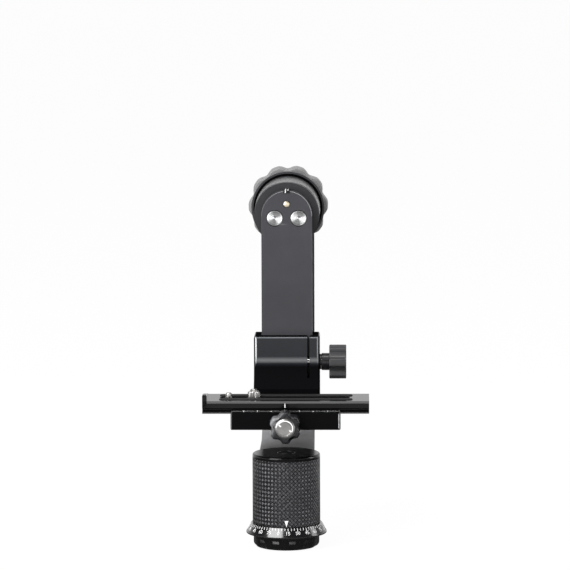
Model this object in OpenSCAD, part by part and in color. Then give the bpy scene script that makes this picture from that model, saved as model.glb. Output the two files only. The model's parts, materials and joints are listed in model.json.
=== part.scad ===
// Gimbal tripod head
// A panning base carries a J-shaped frame. A swing arm turns on the frame's horizontal tilt axis, and a
// cradle that slides on the arm clamps a quick-release plate with a camera screw.
// Lengths are in millimetres. X runs to the right, Y to the rear and Z up.
// The origin is the centre of the base's bottom face, on the pan axis.

/* [Layout] */
// Height of the tilt axis above the base's bottom face
tilt_h = 235.6; // [230:0.1:258]
// Distance from the pan axis back to the upright's front face
reach = 99; // [94:0.5:120]
// Distance from the pan axis back to the swing arm's front face
arm_front_y = 42.8; // [41:0.1:48]

/* [Base] */
// Radius of the boss that stands on the tripod
boss_r = 18; // [16:0.5:19]
// Height of the lock ring's underside above the base's bottom face
ring_lift = 0.5; // [0.3:0.1:2]
// Outer radius of the pan lock ring
lock_ring_r = 23.8; // [22.5:0.1:27]
// Height of the pan lock ring
lock_ring_h = 9.4; // [8:0.1:14]
// Radius of the fillet under the lock ring's outer edge
lock_ring_fillet = 2; // [0.5:0.1:3]
// Number of finger flutes round the lock ring
lock_ring_flutes = 12; // [8:1:20]
// Depth of a finger flute
flute_depth = 0.6; // [0.2:0.1:1]
// Gap between the lock ring and the scale ring
ring_gap = 0.3; // [0.2:0.1:1]
// Radius of the scale ring at its rim
scale_r = 28.9; // [27:0.1:34]
// Radius of the scale ring at the top of its cone
scale_top_r = 25.3; // [24.4:0.1:26.5]
// Height of the scale ring
scale_h = 8.2; // [7:0.1:12]
// Height of the scale ring's straight rim
scale_rim_h = 1; // [0.5:0.1:2]
// Radius of the base flange inside the scale ring
flange_r = 22; // [21:0.1:23]
// Radius of the brass insert that takes the tripod stud
insert_r = 7; // [6:0.1:9]
// Radius of the tripod thread's bore
tripod_hole_r = 3.97; // [2.5:0.01:5]
// Depth of the tripod thread
tripod_hole_l = 12; // [9:0.5:14]

/* [Pan bearings] */
// Bore radius of a pan bearing
pan_bore_r = 6; // [5:0.5:7]
// Outer radius of a pan bearing
pan_bearing_r = 14; // [12:0.5:15]
// Width of a pan bearing
pan_bearing_w = 8; // [6:0.5:9]
// Number of balls in a pan bearing
pan_ball_count = 9; // [6:1:10]
// Length of the spacer between the two pan bearings
pan_spacer_l = 12; // [8:0.5:16]

/* [Pan column] */
// Outer radius of the carbon sleeve
sleeve_r = 24.2; // [23:0.1:25]
// Wall of the carbon sleeve
sleeve_t = 2; // [1:0.1:2.5]
// Height of the cap on the column
cap_h = 3.2; // [2.5:0.1:6]
// Radius of the fillet round the cap's top edge
cap_fillet = 1; // [0.4:0.1:1.5]
// Radius of the friction disc's inner edge
brake_inner_r = 17.5; // [15:0.1:18]
// Thickness of the pan friction disc
brake_disc_t = 2; // [1.5:0.1:2.5]
// Radius of a brake pin
brake_pin_r = 1.4; // [1:0.1:1.6]

/* [Frame] */
// Thickness of the frame's foot and upright
frame_t = 12; // [10:0.5:16]
// Width of the foot where it leaves the column
foot_w = 40; // [38:0.5:43]
// Width of the upright
upright_w = 39; // [34:0.5:40]
// Inner radius of the elbow between foot and upright
elbow_r = 28; // [20:0.5:34]
// Height of the lap joint between foot and upright
lap_h = 20; // [16:0.5:30]
// Radius of the rim round the upright's head
head_r = 27.1; // [26:0.1:32]
// Thickness of the rim round the upright's head
head_rim_t = 5.5; // [3:0.1:9]
// Radius of the upright's head behind the rim
head_back_r = 25.6; // [24.5:0.1:27]
// Radius of a frame screw's shank
frame_screw_r = 2; // [1.5:0.1:2.2]
// Radius of a frame screw's head
frame_screw_head_r = 3.4; // [2.8:0.1:3.6]
// Height of a frame screw's head
frame_screw_head_h = 4; // [3:0.1:4.5]

/* [Tilt hub] */
// Radius of the hub housing
hub_r = 24; // [22.5:0.1:26]
// Radius of the dark groove between housing and upright
hub_groove_r = 22.5; // [21.5:0.1:22.5]
// Width of the groove between housing and upright
hub_groove_w = 1.5; // [0.8:0.1:3]
// Bore radius of a tilt bearing
tilt_bore_r = 7.5; // [6.5:0.5:8]
// Outer radius of a tilt bearing
tilt_bearing_r = 16; // [14:0.5:16]
// Width of a tilt bearing
tilt_bearing_w = 9; // [7:0.5:10]
// Number of balls in a tilt bearing
tilt_ball_count = 9; // [6:1:10]
// Radius of the flange that carries the swing arm
tilt_flange_r = 23.8; // [22:0.1:25.5]
// Thickness of the flange that carries the swing arm
tilt_flange_t = 4.5; // [4:0.1:6]
// Thickness of the tilt friction disc
tilt_disc_t = 0.8; // [0.5:0.1:1.5]

/* [Tilt knob] */
// Radius of the tilt knob over its lobes
tilt_knob_r = 29.3; // [26:0.1:34]
// Length of the tilt knob
tilt_knob_l = 14; // [13:0.5:22]
// Number of lobes on the tilt knob
tilt_knob_lobes = 10; // [7:1:12]
// Depth of the valleys between the tilt knob's lobes
tilt_knob_valley = 2.6; // [1:0.1:3.5]
// Radius of the threaded spigot behind the upright
spigot_r = 14; // [13.5:0.1:15]
// Length of the threaded spigot
spigot_l = 8; // [6:0.5:9]

/* [Swing arm] */
// Width of the swing arm
arm_w = 37; // [34:0.5:38]
// Thickness of the swing arm
arm_t = 12; // [10:0.5:14]
// Height of the arm's lower end above the cap
arm_clear = 20.5; // [16:0.1:25]
// Distance between the two arm bolts
bolt_pitch = 17.4; // [15:0.1:22]
// Distance of the arm bolts below the tilt axis
bolt_drop = 1.5; // [0:0.1:4]
// Radius of an arm bolt's head
bolt_head_r = 5.8; // [4.5:0.1:6.5]
// Height of an arm bolt's head
bolt_head_h = 2.6; // [2:0.1:4]
// Radius of an arm bolt's shank
bolt_r = 2.5; // [2:0.1:3]
// Radius of the brass dowel
dowel_r = 2.5; // [1.5:0.1:2.6]
// Distance of the brass dowel above the tilt axis
dowel_rise = 8.8; // [8:0.1:11]
// Thickness of the stop plate under the arm
stop_t = 3.8; // [3:0.1:5]
// Width of the stop plate under the arm
stop_w = 42; // [40:0.5:46]

/* [Cradle block] */
// Width of the cradle block
block_w = 48; // [45:0.5:54]
// Height of the cradle block
block_h = 59.1; // [55:0.1:75]
// Thickness of the block's front wall
block_front_t = 10; // [8.5:0.1:11]
// Thickness of the block's rear wall
block_rear_t = 5.8; // [4:0.1:5.8]
// Height of the nose above the clamp's jaws
nose_h = 9.9; // [6:0.1:12]
// Radius of the hollow sweep from the nose up to the block's front face
sweep_r = 18.6; // [14:0.1:22]
// Place of the slit to the right of the middle
slit_x = 14.9; // [10:0.1:17]
// Width of the slit
slit_w = 1.7; // [1:0.1:2.5]
// Depth of the slit from the block's top
slit_l = 30.7; // [24:0.1:36]
// Distance of the cradle screw below the block's top
cradle_screw_drop = 19; // [14:0.5:20]
// Radius of the cradle screw
cradle_screw_r = 2.5; // [2:0.1:3]

/* [Cradle knob] */
// Radius of the cradle knob over its lobes
cradle_knob_r = 12.9; // [10:0.1:15]
// Length of the cradle knob's lobed head
cradle_knob_l = 12.4; // [9:0.1:18]
// Number of lobes on the cradle knob
cradle_knob_lobes = 6; // [5:1:8]
// Depth of the valleys between the cradle knob's lobes
cradle_knob_valley = 2.9; // [1:0.1:3.2]
// Radius of the cradle knob's neck
cradle_neck_r = 6.3; // [5:0.1:7.5]
// Length of the cradle knob's neck
cradle_neck_l = 6; // [4:0.1:9]
// Radius of the washer under the cradle knob
washer_r = 5.7; // [4.5:0.1:7]
// Thickness of the washer under the cradle knob
washer_t = 1; // [0.6:0.1:1.5]

/* [Plate clamp] */
// Length of the moving jaw
jaw_l = 79; // [70:1:90]
// Depth of the moving jaw from front to rear
jaw_t = 13; // [12:0.1:16]
// Length of the clamp base
clamp_base_l = 75; // [66:1:78]
// Height of the clamp below the plate
clamp_h = 10.4; // [10:0.1:13]
// Height of the jaw lips above the clamp's bed
jaw_lip_h = 2.2; // [1.6:0.1:2.4]
// Travel of the moving jaw
jaw_travel = 4; // [2:0.1:5]
// Radius of the clamp screw
clamp_screw_r = 3; // [2:0.1:3]
// Radius of a guide pin
guide_pin_r = 2.5; // [1.5:0.1:2.8]
// Radius of the clamp knob over its lobes
clamp_knob_r = 10.7; // [9:0.1:13]
// Number of lobes on the clamp knob
clamp_knob_lobes = 6; // [5:1:8]
// Depth of the valleys between the clamp knob's lobes
clamp_knob_valley = 2.5; // [1:0.1:3]
// Length of the clamp knob's lobed head
clamp_knob_l = 16; // [12:0.5:22]
// Radius of the metal cap in the clamp knob
clamp_cap_r = 7.2; // [5:0.1:7.5]

/* [Plate] */
// Length of the plate
plate_l = 120; // [116:1:150]
// Depth of the plate from front to rear
plate_w = 38; // [37:0.1:39.5]
// Height of the plate
plate_h = 8.9; // [8.5:0.1:12]
// Height of the raised lip at the plate's end
end_lip_h = 4.8; // [2:0.1:6]
// Thickness of the raised lip at the plate's end
end_lip_t = 3.2; // [2:0.1:4]
// Width of the slot for the camera screw
slot_w = 8.6; // [8.6:0.1:9.4]
// Distance from the slot to the plate's left end
slot_left = 12; // [11:0.5:13]
// Distance from the slot to the plate's right end
slot_right = 14; // [11:0.5:20]
// Distance from a rubber strip to either end of the plate
strip_edge = 12; // [6:0.5:18]
// Width of a rubber strip
strip_w = 6.7; // [4:0.1:7.5]
// Thickness of a rubber strip
strip_t = 1; // [0.8:0.1:1.5]
// Distance of a stop screw from the end of the plate
stop_screw_edge = 5; // [4:0.5:10]

/* [Camera screw] */
// Radius of the camera screw's thread
camera_screw_r = 3.175; // [3:0.005:3.5]
// Height of the camera screw above the plate
camera_screw_h = 6.2; // [4.5:0.1:8]
// Radius of the shoulder on the camera screw
shoulder_r = 4.1; // [3.6:0.1:4.1]
// Distance of the anti-twist pin from the plate's left end
twist_pin_edge = 18.5; // [18:0.1:21]
// Distance between the anti-twist pin and the camera screw
pin_pitch = 18.3; // [16:0.1:22]
// Radius of the anti-twist pin
twist_pin_r = 2.2; // [1.8:0.05:2.4]
// Height of the anti-twist pin above the plate
twist_pin_h = 3.7; // [2.5:0.1:4]
// Spring-loaded travel of the anti-twist pin
twist_pin_travel = 2.8; // [1:0.1:2.8]

/* [Hidden] */
$fn = 96;

// Clearances and the overrun of cuts
fit = 0.05;
run_gap = 0.1;
slide_gap = 0.1;
seat_gap = 0.3;
cut = 1;

// Bearing proportions, as shares of the difference between outer and bore radius
ball_share = 0.2625;
land_share = 0.175;
groove_gap = 0.2;

// Heights of the base stack
lock_ring_z1 = ring_lift + lock_ring_h;
scale_z0 = lock_ring_z1 + ring_gap;
scale_z1 = scale_z0 + scale_h;
brake_recess = 1.4;
brake_z0 = scale_z1 - brake_recess;
housing_z0 = brake_z0 + brake_disc_t + run_gap;
sleeve_gap = 0.4;
sleeve_z0 = scale_z1 + sleeve_gap;
bearing_inset = 2.9;
pan_low_z = housing_z0 + bearing_inset;
pan_high_z = pan_low_z + pan_bearing_w + pan_spacer_l;
pan_top_room = 3.2;
foot_z0 = pan_high_z + pan_bearing_w + pan_top_room;
foot_z1 = foot_z0 + frame_t;
cap_z1 = foot_z1 + cap_h;

// Base details
boss_chamfer = 0.8;
spindle_end = 7;
spindle_nut_h = 5;
spindle_nut_rim = 4;
brake_shoulder_gap = 0.1;
brake_pin_count = 3;
pan_shoulder_t = 2;
pan_spacer_t = 2;
column_r = sleeve_r - sleeve_t;
pan_rim_t = 1.5;
brake_outer_r = flange_r - brake_shoulder_gap;
brake_pin_place = (brake_inner_r + brake_outer_r) / 2;
flute_r = 5;

// Cap and column fasteners
cap_plug_r = 5;
cap_plug_l = 4;
cap_groove = 0.3;
foot_ledge = 3;
foot_recess_r = pan_bearing_r - foot_ledge;
foot_recess_h = 4.8;
foot_screw_place = (pan_bearing_r + column_r) / 2;
foot_screw_count = 4;
foot_screw_grip = 8;
screw_sink = 0.4;

// Frame
upright_y0 = reach;
upright_y1 = reach + frame_t;
elbow_y = reach - elbow_r;
elbow_z = foot_z1 + elbow_r;
lap_z1 = elbow_z + lap_h;
lap_y = reach + frame_t / 2;
lap_screw_shares = [0.28, 0.72];
lap_screw_grip = 4.5;
foot_taper_y = sleeve_r;
nut_hole_r = spigot_r - pan_rim_t - cap_groove;

// Tilt hub, front to rear
arm_rear_y = arm_front_y + arm_t;
tilt_flange_y1 = arm_rear_y + tilt_flange_t;
tilt_disc_y0 = tilt_flange_y1 + run_gap;
hub_y0 = tilt_disc_y0 + tilt_disc_t;
hub_bearing_inset = 1.5;
tilt_front_y = hub_y0 + hub_bearing_inset;
tilt_rear_y = reach - hub_groove_w - tilt_bearing_w;
hub_rim_t = 2;
tilt_disc_edge = 1;
hub_screw_count = 4;
hub_screw_place = (tilt_bearing_r + hub_groove_r) / 2;
hub_screw_grip = 6;
shaft_spigot_r = 5.5;
shaft_end_r = 5;
shaft_nut_h = 5;
shaft_nut_r = nut_hole_r - pan_rim_t;
shaft_thread_l = 6.5;
spigot_y1 = upright_y1 + spigot_l;
pad_gap = 0.2;
shaft_y1 = upright_y1 + spigot_l / 2;

// Tilt knob
knob_front_gap = 2;
tilt_knob_y0 = upright_y1 + knob_front_gap;
tilt_knob_y1 = tilt_knob_y0 + tilt_knob_l;
knob_floor_gap = 0.5;
tilt_knob_floor_y = spigot_y1 + knob_floor_gap;
knob_insert_t = 3.5;
knob_insert_r = spigot_r + knob_insert_t;
pad_stub_r = 3;
pad_stub_l = 4;
tilt_cap_r = 15;
tilt_cap_t = 1.5;
lobe_cut_share = 2;
tilt_knob_turn = 1;

// Swing arm
arm_z0 = cap_z1 + arm_clear;
arm_drop = tilt_h - arm_z0;
bolt_recess = 3;
bolt_grip = 4;
bolt_socket_share = 0.5;
dowel_sink = 0.4;
dowel_grip = 3.5;
stop_z0 = arm_z0 - stop_t;
stop_screw_head_h = 2;
stop_screw_grip = 10;

// Cradle block
block_z0 = arm_z0 + seat_gap;
block_z1 = block_z0 + block_h;
channel_y0 = arm_front_y - slide_gap;
channel_y1 = arm_rear_y + slide_gap;
block_front_y = channel_y0 - block_front_t;
block_rear_y = channel_y1 + block_rear_t;
cradle_screw_z = block_z1 - cradle_screw_drop;
cradle_screw_rear_wall = 2;
cradle_screw_y = channel_y0 - cradle_screw_r - cradle_screw_rear_wall;
cradle_screw_grip = 20;
cradle_knob_turn = 26;
knob_bore_l = 9;

// Plate clamp, from the bed of the clamp upward
bed_z = block_z0 + clamp_h;
lip_z = bed_z + jaw_lip_h;
plate_y = plate_w / 2;
jaw_face_gap = 0.15;
bed_gap = 0.2;
dovetail_foot = 0.2;
jaw_side_t = 7;
jaw_y0 = -plate_y - jaw_side_t;
jaw_y1 = jaw_y0 + jaw_t;
jaw_split = 0.5;
base_y0 = jaw_y1 + jaw_split;
base_y1 = plate_y + jaw_side_t;
tongue_drop = 1;
tongue_t = 6;
tongue_w = 42;
tongue_z0 = block_z0 + tongue_drop;
tongue_z1 = tongue_z0 + tongue_t;
clamp_knob_rise = 3.9;
screw_grip_share = 2;
clamp_screw_z = block_z0 + clamp_knob_rise;
clamp_screw_grip = jaw_travel * screw_grip_share;
tongue_gap = 2;
tongue_y0 = base_y0 + clamp_screw_grip + tongue_gap;
nose_gap = 0.4;
nose_y = plate_y + nose_gap;
nose_z0 = lip_z + run_gap;
nose_z1 = nose_z0 + nose_h;
sweep_y = block_front_y - sweep_r;
sweep_z = nose_z1 + sqrt(sweep_r * sweep_r - (nose_y - sweep_y) * (nose_y - sweep_y));
base_screw_x = 13;
base_screw_y_shares = [0.25, 0.75];
base_screw_head_h = 3;
base_screw_grip = 2.4;
guide_pin_x = 26;
guide_pin_z = block_z0 + clamp_h / 2;
guide_pin_sink = 2;
guide_pin_l = 32;
clamp_neck_r = 7;
clamp_neck_l = 2.3;
clamp_cap_t = 2;
clamp_cap_proud = 0.4;
clamp_knob_turn = 36;

// Plate
plate_z0 = bed_z + bed_gap;
plate_z1 = plate_z0 + plate_h;
dovetail_h = 2.6;
groove_h = 1.4;
groove_slope = 0.8;
plate_chamfer = 1.5;
end_lip_round = 0.8;
slot_x0 = slot_left - plate_l / 2;
slot_x1 = plate_l / 2 - slot_right;
under_slot_w = 15.4;
under_slot_h = 4.7;
under_slot_extra = 3;
strip_sink = 0.4;
strip_place = 9.15;
strip_l = plate_l - 2 * strip_edge;
stop_screw_head_r = 2.5;
stop_screw_x = plate_l / 2 - stop_screw_edge;
stop_screw_hang = 2.4;
stop_screw_r = 1.5;
stop_screw_up = 4;

// Screw carrier and anti-twist pin
twist_pin_x = twist_pin_edge - plate_l / 2;
camera_screw_x = twist_pin_x + pin_pitch;
carrier_t = 1.9;
carrier_roof = plate_z0 + under_slot_h - run_gap;
carrier_z0 = carrier_roof - carrier_t;
carrier_neck_drop = 1.1;
carrier_neck_top = plate_z1 - carrier_neck_drop;
carrier_left = 5;
carrier_right = 10;
carrier_step = 0.6;
carrier_side_gap = 0.3;
screw_shank_r = 3.1;
shoulder_h = 1.2;
screw_head_r = 6.2;
screw_head_h = 1.6;
coin_slot_w = 1.6;
coin_slot_h = 0.8;
pin_shank_step = 0.2;
pin_shank_r = twist_pin_r + pin_shank_step;
pin_flange_r = 3.3;
pin_flange_h = 0.8;
pin_bore_r = pin_flange_r + run_gap;
pin_roof_t = 1.8;
pin_roof_z = carrier_neck_top - pin_roof_t;
pin_boss_r = 4.6;
pin_plug_t = 0.6;
spring_r = 2.6;
spring_wire_r = 0.2;
spring_turns = 2.5;
spring_sides = 6;
spring_steps = 12;
pin_low_z = pin_roof_z - run_gap - pin_flange_h;
spring_room = 1.1;
pin_plug_z1 = pin_low_z - twist_pin_travel - spring_room;
pin_boss_z = pin_plug_z1 - pin_plug_t;

// Solid cylinder on the Z axis between two heights
module rod_z(r, z0, z1) {
    translate([0, 0, z0]) cylinder(r = r, h = z1 - z0);
}

// Solid cylinder along Y between two depths
module rod_y(r, y0, y1, x = 0, z = 0) {
    translate([x, y0, z]) rotate([-90, 0, 0]) cylinder(r = r, h = y1 - y0);
}

// Solid cylinder along X between two places
module rod_x(r, x0, x1, y = 0, z = 0) {
    translate([x0, y, z]) rotate([0, 90, 0]) cylinder(r = r, h = x1 - x0);
}

// Tube on the Z axis
module tube_z(r_out, r_in, z0, z1) {
    difference() {
        rod_z(r_out, z0, z1);
        rod_z(r_in, z0 - cut, z1 + cut);
    }
}

// Tube along Y on the tilt axis
module tube_tilt(r_out, r_in, y0, y1) {
    difference() {
        rod_y(r_out, y0, y1, 0, tilt_h);
        rod_y(r_in, y0 - cut, y1 + cut, 0, tilt_h);
    }
}

// Box between two corners
module box(x0, x1, y0, y1, z0, z1) {
    translate([x0, y0, z0]) cube([x1 - x0, y1 - y0, z1 - z0]);
}

// Outline in X and Z, extruded along Y
module front_plate(y0, y1) {
    translate([0, y1, 0]) rotate([90, 0, 0]) linear_extrude(y1 - y0) children();
}

// Outline in Y and Z, extruded along X
module side_plate(x0, x1) {
    translate([x0, 0, 0]) rotate([90, 0, 90]) linear_extrude(x1 - x0) children();
}

// Copies evenly spaced round the Z axis
module around_z(count, turn = 0) {
    for (i = [0 : count - 1]) rotate([0, 0, turn + 360 * i / count]) children();
}

// Points of an arc, for lathe profiles
function arc(x, y, r, a0, a1, steps = 8) =
    [for (i = [0 : steps]) let (a = a0 + (a1 - a0) * i / steps) [x + r * cos(a), y + r * sin(a)]];

// Outline of a knob whose lobes are left between round valleys; the first lobe points up at turn 0
module lobed_outline(r, valley, lobes, turn) {
    cut_r = r * lobe_cut_share / lobes;
    difference() {
        circle(r = r);
        for (i = [0 : lobes - 1])
            rotate(turn + 360 * (i + 1 / 2) / lobes)
                translate([0, r - valley + cut_r]) circle(r = cut_r);
    }
}

// Radii of a ball bearing's parts, from its bore and outer radius
function track_r(bore, outer) = (bore + outer) / 2;
function ball_r(bore, outer) = (outer - bore) * ball_share;
function land_in(bore, outer) = track_r(bore, outer) - (outer - bore) * land_share;
function land_out(bore, outer) = track_r(bore, outer) + (outer - bore) * land_share;

// Ring groove that the balls run in
module ball_groove(bore, outer, w) {
    translate([0, 0, w / 2]) rotate_extrude()
        translate([track_r(bore, outer), 0]) circle(r = ball_r(bore, outer) + groove_gap);
}

module inner_race(bore, outer, w) {
    difference() {
        tube_z(land_in(bore, outer), bore + fit, 0, w);
        ball_groove(bore, outer, w);
    }
}

module outer_race(bore, outer, w) {
    difference() {
        tube_z(outer, land_out(bore, outer), 0, w);
        ball_groove(bore, outer, w);
    }
}

module ball_row(bore, outer, w, count) {
    around_z(count) translate([track_r(bore, outer), 0, w / 2]) sphere(r = ball_r(bore, outer));
}

// Places of the bearings' front ends
module at_pan_bearings() {
    for (z = [pan_low_z, pan_high_z]) translate([0, 0, z]) children();
}

module at_tilt_bearings() {
    for (y = [tilt_front_y, tilt_rear_y]) translate([0, y, tilt_h]) rotate([-90, 0, 0]) children();
}

// Places of the pan column's screws and of the hub's screws
module at_foot_screws() {
    around_z(foot_screw_count, 45) translate([foot_screw_place, 0, 0]) children();
}

module at_hub_screws() {
    translate([0, 0, tilt_h]) for (i = [0 : hub_screw_count - 1])
        rotate([0, 45 + 360 * i / hub_screw_count, 0]) translate([hub_screw_place, 0, 0]) children();
}

// Base

module base_core() {
    centring_r = brake_inner_r - brake_shoulder_gap;
    shoulder_r = pan_bore_r + pan_shoulder_t;
    spindle_z1 = pan_high_z + pan_bearing_w + spindle_end;
    color("dimgray") difference() {
        rotate_extrude() polygon([
            [0, 0], [boss_r - boss_chamfer, 0], [boss_r, boss_chamfer], [boss_r, scale_z0],
            [flange_r, scale_z0], [flange_r, brake_z0], [centring_r, brake_z0], [centring_r, scale_z1],
            [shoulder_r, scale_z1], [shoulder_r, pan_low_z], [pan_bore_r, pan_low_z],
            [pan_bore_r, spindle_z1], [0, spindle_z1]
        ]);
        rod_z(insert_r + fit, -cut, tripod_hole_l);
        around_z(brake_pin_count) translate([brake_pin_place, 0, 0])
            rod_z(brake_pin_r + fit, scale_z0 - cut, brake_z0 + cut);
    }
}

module thread_insert() {
    color("goldenrod") tube_z(insert_r, tripod_hole_r, 0, tripod_hole_l);
}

module scale_ring() {
    color("#202022") difference() {
        rotate_extrude() polygon([
            [0, scale_z0], [scale_r, scale_z0], [scale_r, scale_z0 + scale_rim_h],
            [scale_top_r, scale_z1], [0, scale_z1]
        ]);
        rod_z(flange_r + fit, scale_z0 - cut, scale_z1 + cut);
    }
}

module brake_pins() {
    color("silver") around_z(brake_pin_count) translate([brake_pin_place, 0, 0])
        rod_z(brake_pin_r, lock_ring_z1 + run_gap, brake_z0);
}

module brake_disc() {
    color("#3a2f28") tube_z(brake_outer_r, brake_inner_r, brake_z0, brake_z0 + brake_disc_t);
}

module pan_inner_races() {
    color("silver") at_pan_bearings() inner_race(pan_bore_r, pan_bearing_r, pan_bearing_w);
}

module pan_spacer() {
    color("gray") tube_z(pan_bore_r + pan_spacer_t, pan_bore_r + fit,
        pan_low_z + pan_bearing_w, pan_high_z);
}

module spindle_nut() {
    nut_z0 = pan_high_z + pan_bearing_w;
    color("silver") difference() {
        translate([0, 0, nut_z0]) cylinder(r = pan_bore_r + spindle_nut_rim, h = spindle_nut_h, $fn = 6);
        rod_z(pan_bore_r + fit, nut_z0 - cut, nut_z0 + spindle_nut_h + cut);
    }
}

module pan_lock_ring() {
    fillet_y = ring_lift + lock_ring_fillet;
    color("#1c1c1e") difference() {
        rotate_extrude() polygon(concat(
            [[0, ring_lift]],
            arc(lock_ring_r - lock_ring_fillet, fillet_y, lock_ring_fillet, -90, 0),
            [[lock_ring_r, lock_ring_z1], [0, lock_ring_z1]]
        ));
        rod_z(boss_r + seat_gap, 0, lock_ring_z1 + cut);
        around_z(lock_ring_flutes) translate([lock_ring_r - flute_depth + flute_r, 0, 0])
            rod_z(flute_r, 0, lock_ring_z1 + cut);
    }
}

// Pan column

module pan_housing() {
    color("#303033") difference() {
        rod_z(column_r - fit, housing_z0, foot_z0);
        rod_z(pan_bearing_r - pan_rim_t, housing_z0 - cut, foot_z0 + cut);
        rod_z(pan_bearing_r + fit, housing_z0 - cut, pan_low_z + pan_bearing_w);
        rod_z(pan_bearing_r + fit, pan_high_z, foot_z0 + cut);
        at_foot_screws() rod_z(frame_screw_r + fit, foot_z0 - foot_screw_grip - cut, foot_z0 + cut);
    }
}

module pan_outer_races() {
    color("silver") at_pan_bearings() outer_race(pan_bore_r, pan_bearing_r, pan_bearing_w);
}

module pan_balls() {
    color("white") at_pan_bearings()
        ball_row(pan_bore_r, pan_bearing_r, pan_bearing_w, pan_ball_count);
}

module carbon_sleeve() {
    notch_x = foot_w / 2 + seat_gap;
    color("#2a2a2e") difference() {
        tube_z(sleeve_r, column_r, sleeve_z0, foot_z1);
        box(-notch_x, notch_x, 0, sleeve_r + cut, foot_z0 - run_gap, foot_z1 + cut);
    }
}

module base_cap() {
    side_z = foot_z1 + cap_h / 2;
    color("#151517") rotate_extrude() polygon(concat(
        [
            [0, foot_z1 - cap_plug_l], [cap_plug_r, foot_z1 - cap_plug_l], [cap_plug_r, foot_z1],
            [sleeve_r, foot_z1], [sleeve_r, side_z - cap_groove],
            [sleeve_r - cap_groove, side_z - cap_groove], [sleeve_r - cap_groove, side_z], [sleeve_r, side_z]
        ],
        arc(sleeve_r - cap_fillet, cap_z1 - cap_fillet, cap_fillet, 0, 90),
        [[0, cap_z1]]
    ));
}

// Frame

module foot_outline_side() {
    difference() {
        union() {
            translate([0, foot_z0]) square([elbow_y, frame_t]);
            intersection() {
                translate([elbow_y, elbow_z]) circle(r = elbow_r + frame_t);
                translate([elbow_y, foot_z0]) square([elbow_r + frame_t, elbow_r + frame_t]);
            }
            translate([lap_y, elbow_z]) square([upright_y1 - lap_y, lap_h]);
        }
        translate([elbow_y, elbow_z]) circle(r = elbow_r);
    }
}

module arm_foot() {
    foot_x = foot_w / 2;
    upright_x = upright_w / 2;
    plan = [
        [foot_x, 0], [foot_x, foot_taper_y], [upright_x, upright_y0], [upright_x, upright_y1 + cut],
        [-upright_x, upright_y1 + cut], [-upright_x, upright_y0], [-foot_x, foot_taper_y], [-foot_x, 0]
    ];
    color("#3a3a3e") difference() {
        union() {
            rod_z(column_r - fit, foot_z0, foot_z1);
            intersection() {
                side_plate(-foot_w / 2, foot_w / 2) foot_outline_side();
                translate([0, 0, foot_z0 - cut]) linear_extrude(lap_z1 - foot_z0 + 2 * cut) polygon(plan);
            }
        }
        rod_z(foot_recess_r, foot_z0 - cut, foot_z0 + foot_recess_h);
        rod_z(cap_plug_r + fit, foot_z1 - cap_plug_l - screw_sink, foot_z1 + cut);
        at_foot_screws() {
            rod_z(frame_screw_r + fit, foot_z0 - cut, foot_z1 + cut);
            rod_z(frame_screw_head_r + run_gap, foot_z1 - frame_screw_head_h - screw_sink, foot_z1 + cut);
        }
        for (share = lap_screw_shares) {
            z = elbow_z + lap_h * share;
            rod_y(frame_screw_r + fit, lap_y - cut, upright_y1 + cut, 0, z);
            rod_y(frame_screw_head_r + run_gap, upright_y1 - frame_screw_head_h, upright_y1 + cut, 0, z);
        }
    }
}

module upright_arm() {
    color("#3a3a3e") difference() {
        union() {
            box(-upright_w / 2, upright_w / 2, upright_y0, upright_y1, elbow_z, tilt_h);
            rod_y(head_r, upright_y0, upright_y0 + head_rim_t, 0, tilt_h);
            rod_y(head_back_r, upright_y0, upright_y1, 0, tilt_h);
            rod_y(spigot_r, upright_y1 - cut, spigot_y1, 0, tilt_h);
        }
        box(-upright_w, upright_w, lap_y, upright_y1 + cut, elbow_z - cut, lap_z1);
        rod_y(nut_hole_r, upright_y0 - cut, spigot_y1 + cut, 0, tilt_h);
        at_hub_screws() {
            rod_y(frame_screw_r + fit, upright_y0 - cut, upright_y1 + cut);
            rod_y(frame_screw_head_r + run_gap, upright_y1 - frame_screw_head_h, upright_y1 + cut);
        }
        for (share = lap_screw_shares) {
            z = elbow_z + lap_h * share;
            rod_y(frame_screw_r + fit, lap_y - lap_screw_grip - cut, lap_y + cut, 0, z);
        }
    }
}

// Socket screw pointing down, with its head's top at the given height
module screw_down(r, head_r, head_h, top, tip) {
    difference() {
        union() {
            rod_z(r, tip, top - head_h / 2);
            rod_z(head_r, top - head_h, top);
        }
        translate([0, 0, top - head_h / 2]) cylinder(r = head_r * bolt_socket_share, h = head_h, $fn = 6);
    }
}

module foot_screws() {
    color("dimgray") at_foot_screws()
        screw_down(frame_screw_r, frame_screw_head_r, frame_screw_head_h,
            foot_z1 - screw_sink, foot_z0 - foot_screw_grip);
}

// Screws that point forward from the frame's rear face
module rear_screw(tip_y) {
    translate([0, upright_y1, 0]) rotate([-90, 0, 0])
        screw_down(frame_screw_r, frame_screw_head_r, frame_screw_head_h, 0, tip_y - upright_y1);
}

module upright_screws() {
    color("dimgray") for (share = lap_screw_shares)
        translate([0, 0, elbow_z + lap_h * share]) rear_screw(lap_y - lap_screw_grip);
}

module hub_screws() {
    color("dimgray") at_hub_screws() rear_screw(upright_y0 - hub_screw_grip);
}

// Tilt hub

module hub_housing() {
    color("#252528") difference() {
        union() {
            rod_y(hub_r, hub_y0, reach - hub_groove_w, 0, tilt_h);
            rod_y(hub_groove_r, hub_y0 + cut, reach, 0, tilt_h);
        }
        rod_y(tilt_bearing_r - hub_rim_t, hub_y0 - cut, reach + cut, 0, tilt_h);
        rod_y(tilt_bearing_r + fit, hub_y0 - cut, tilt_front_y + tilt_bearing_w, 0, tilt_h);
        rod_y(tilt_bearing_r + fit, tilt_rear_y, reach + cut, 0, tilt_h);
        at_hub_screws() rod_y(frame_screw_r + fit, reach - hub_screw_grip - cut, reach + cut);
    }
}

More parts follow.
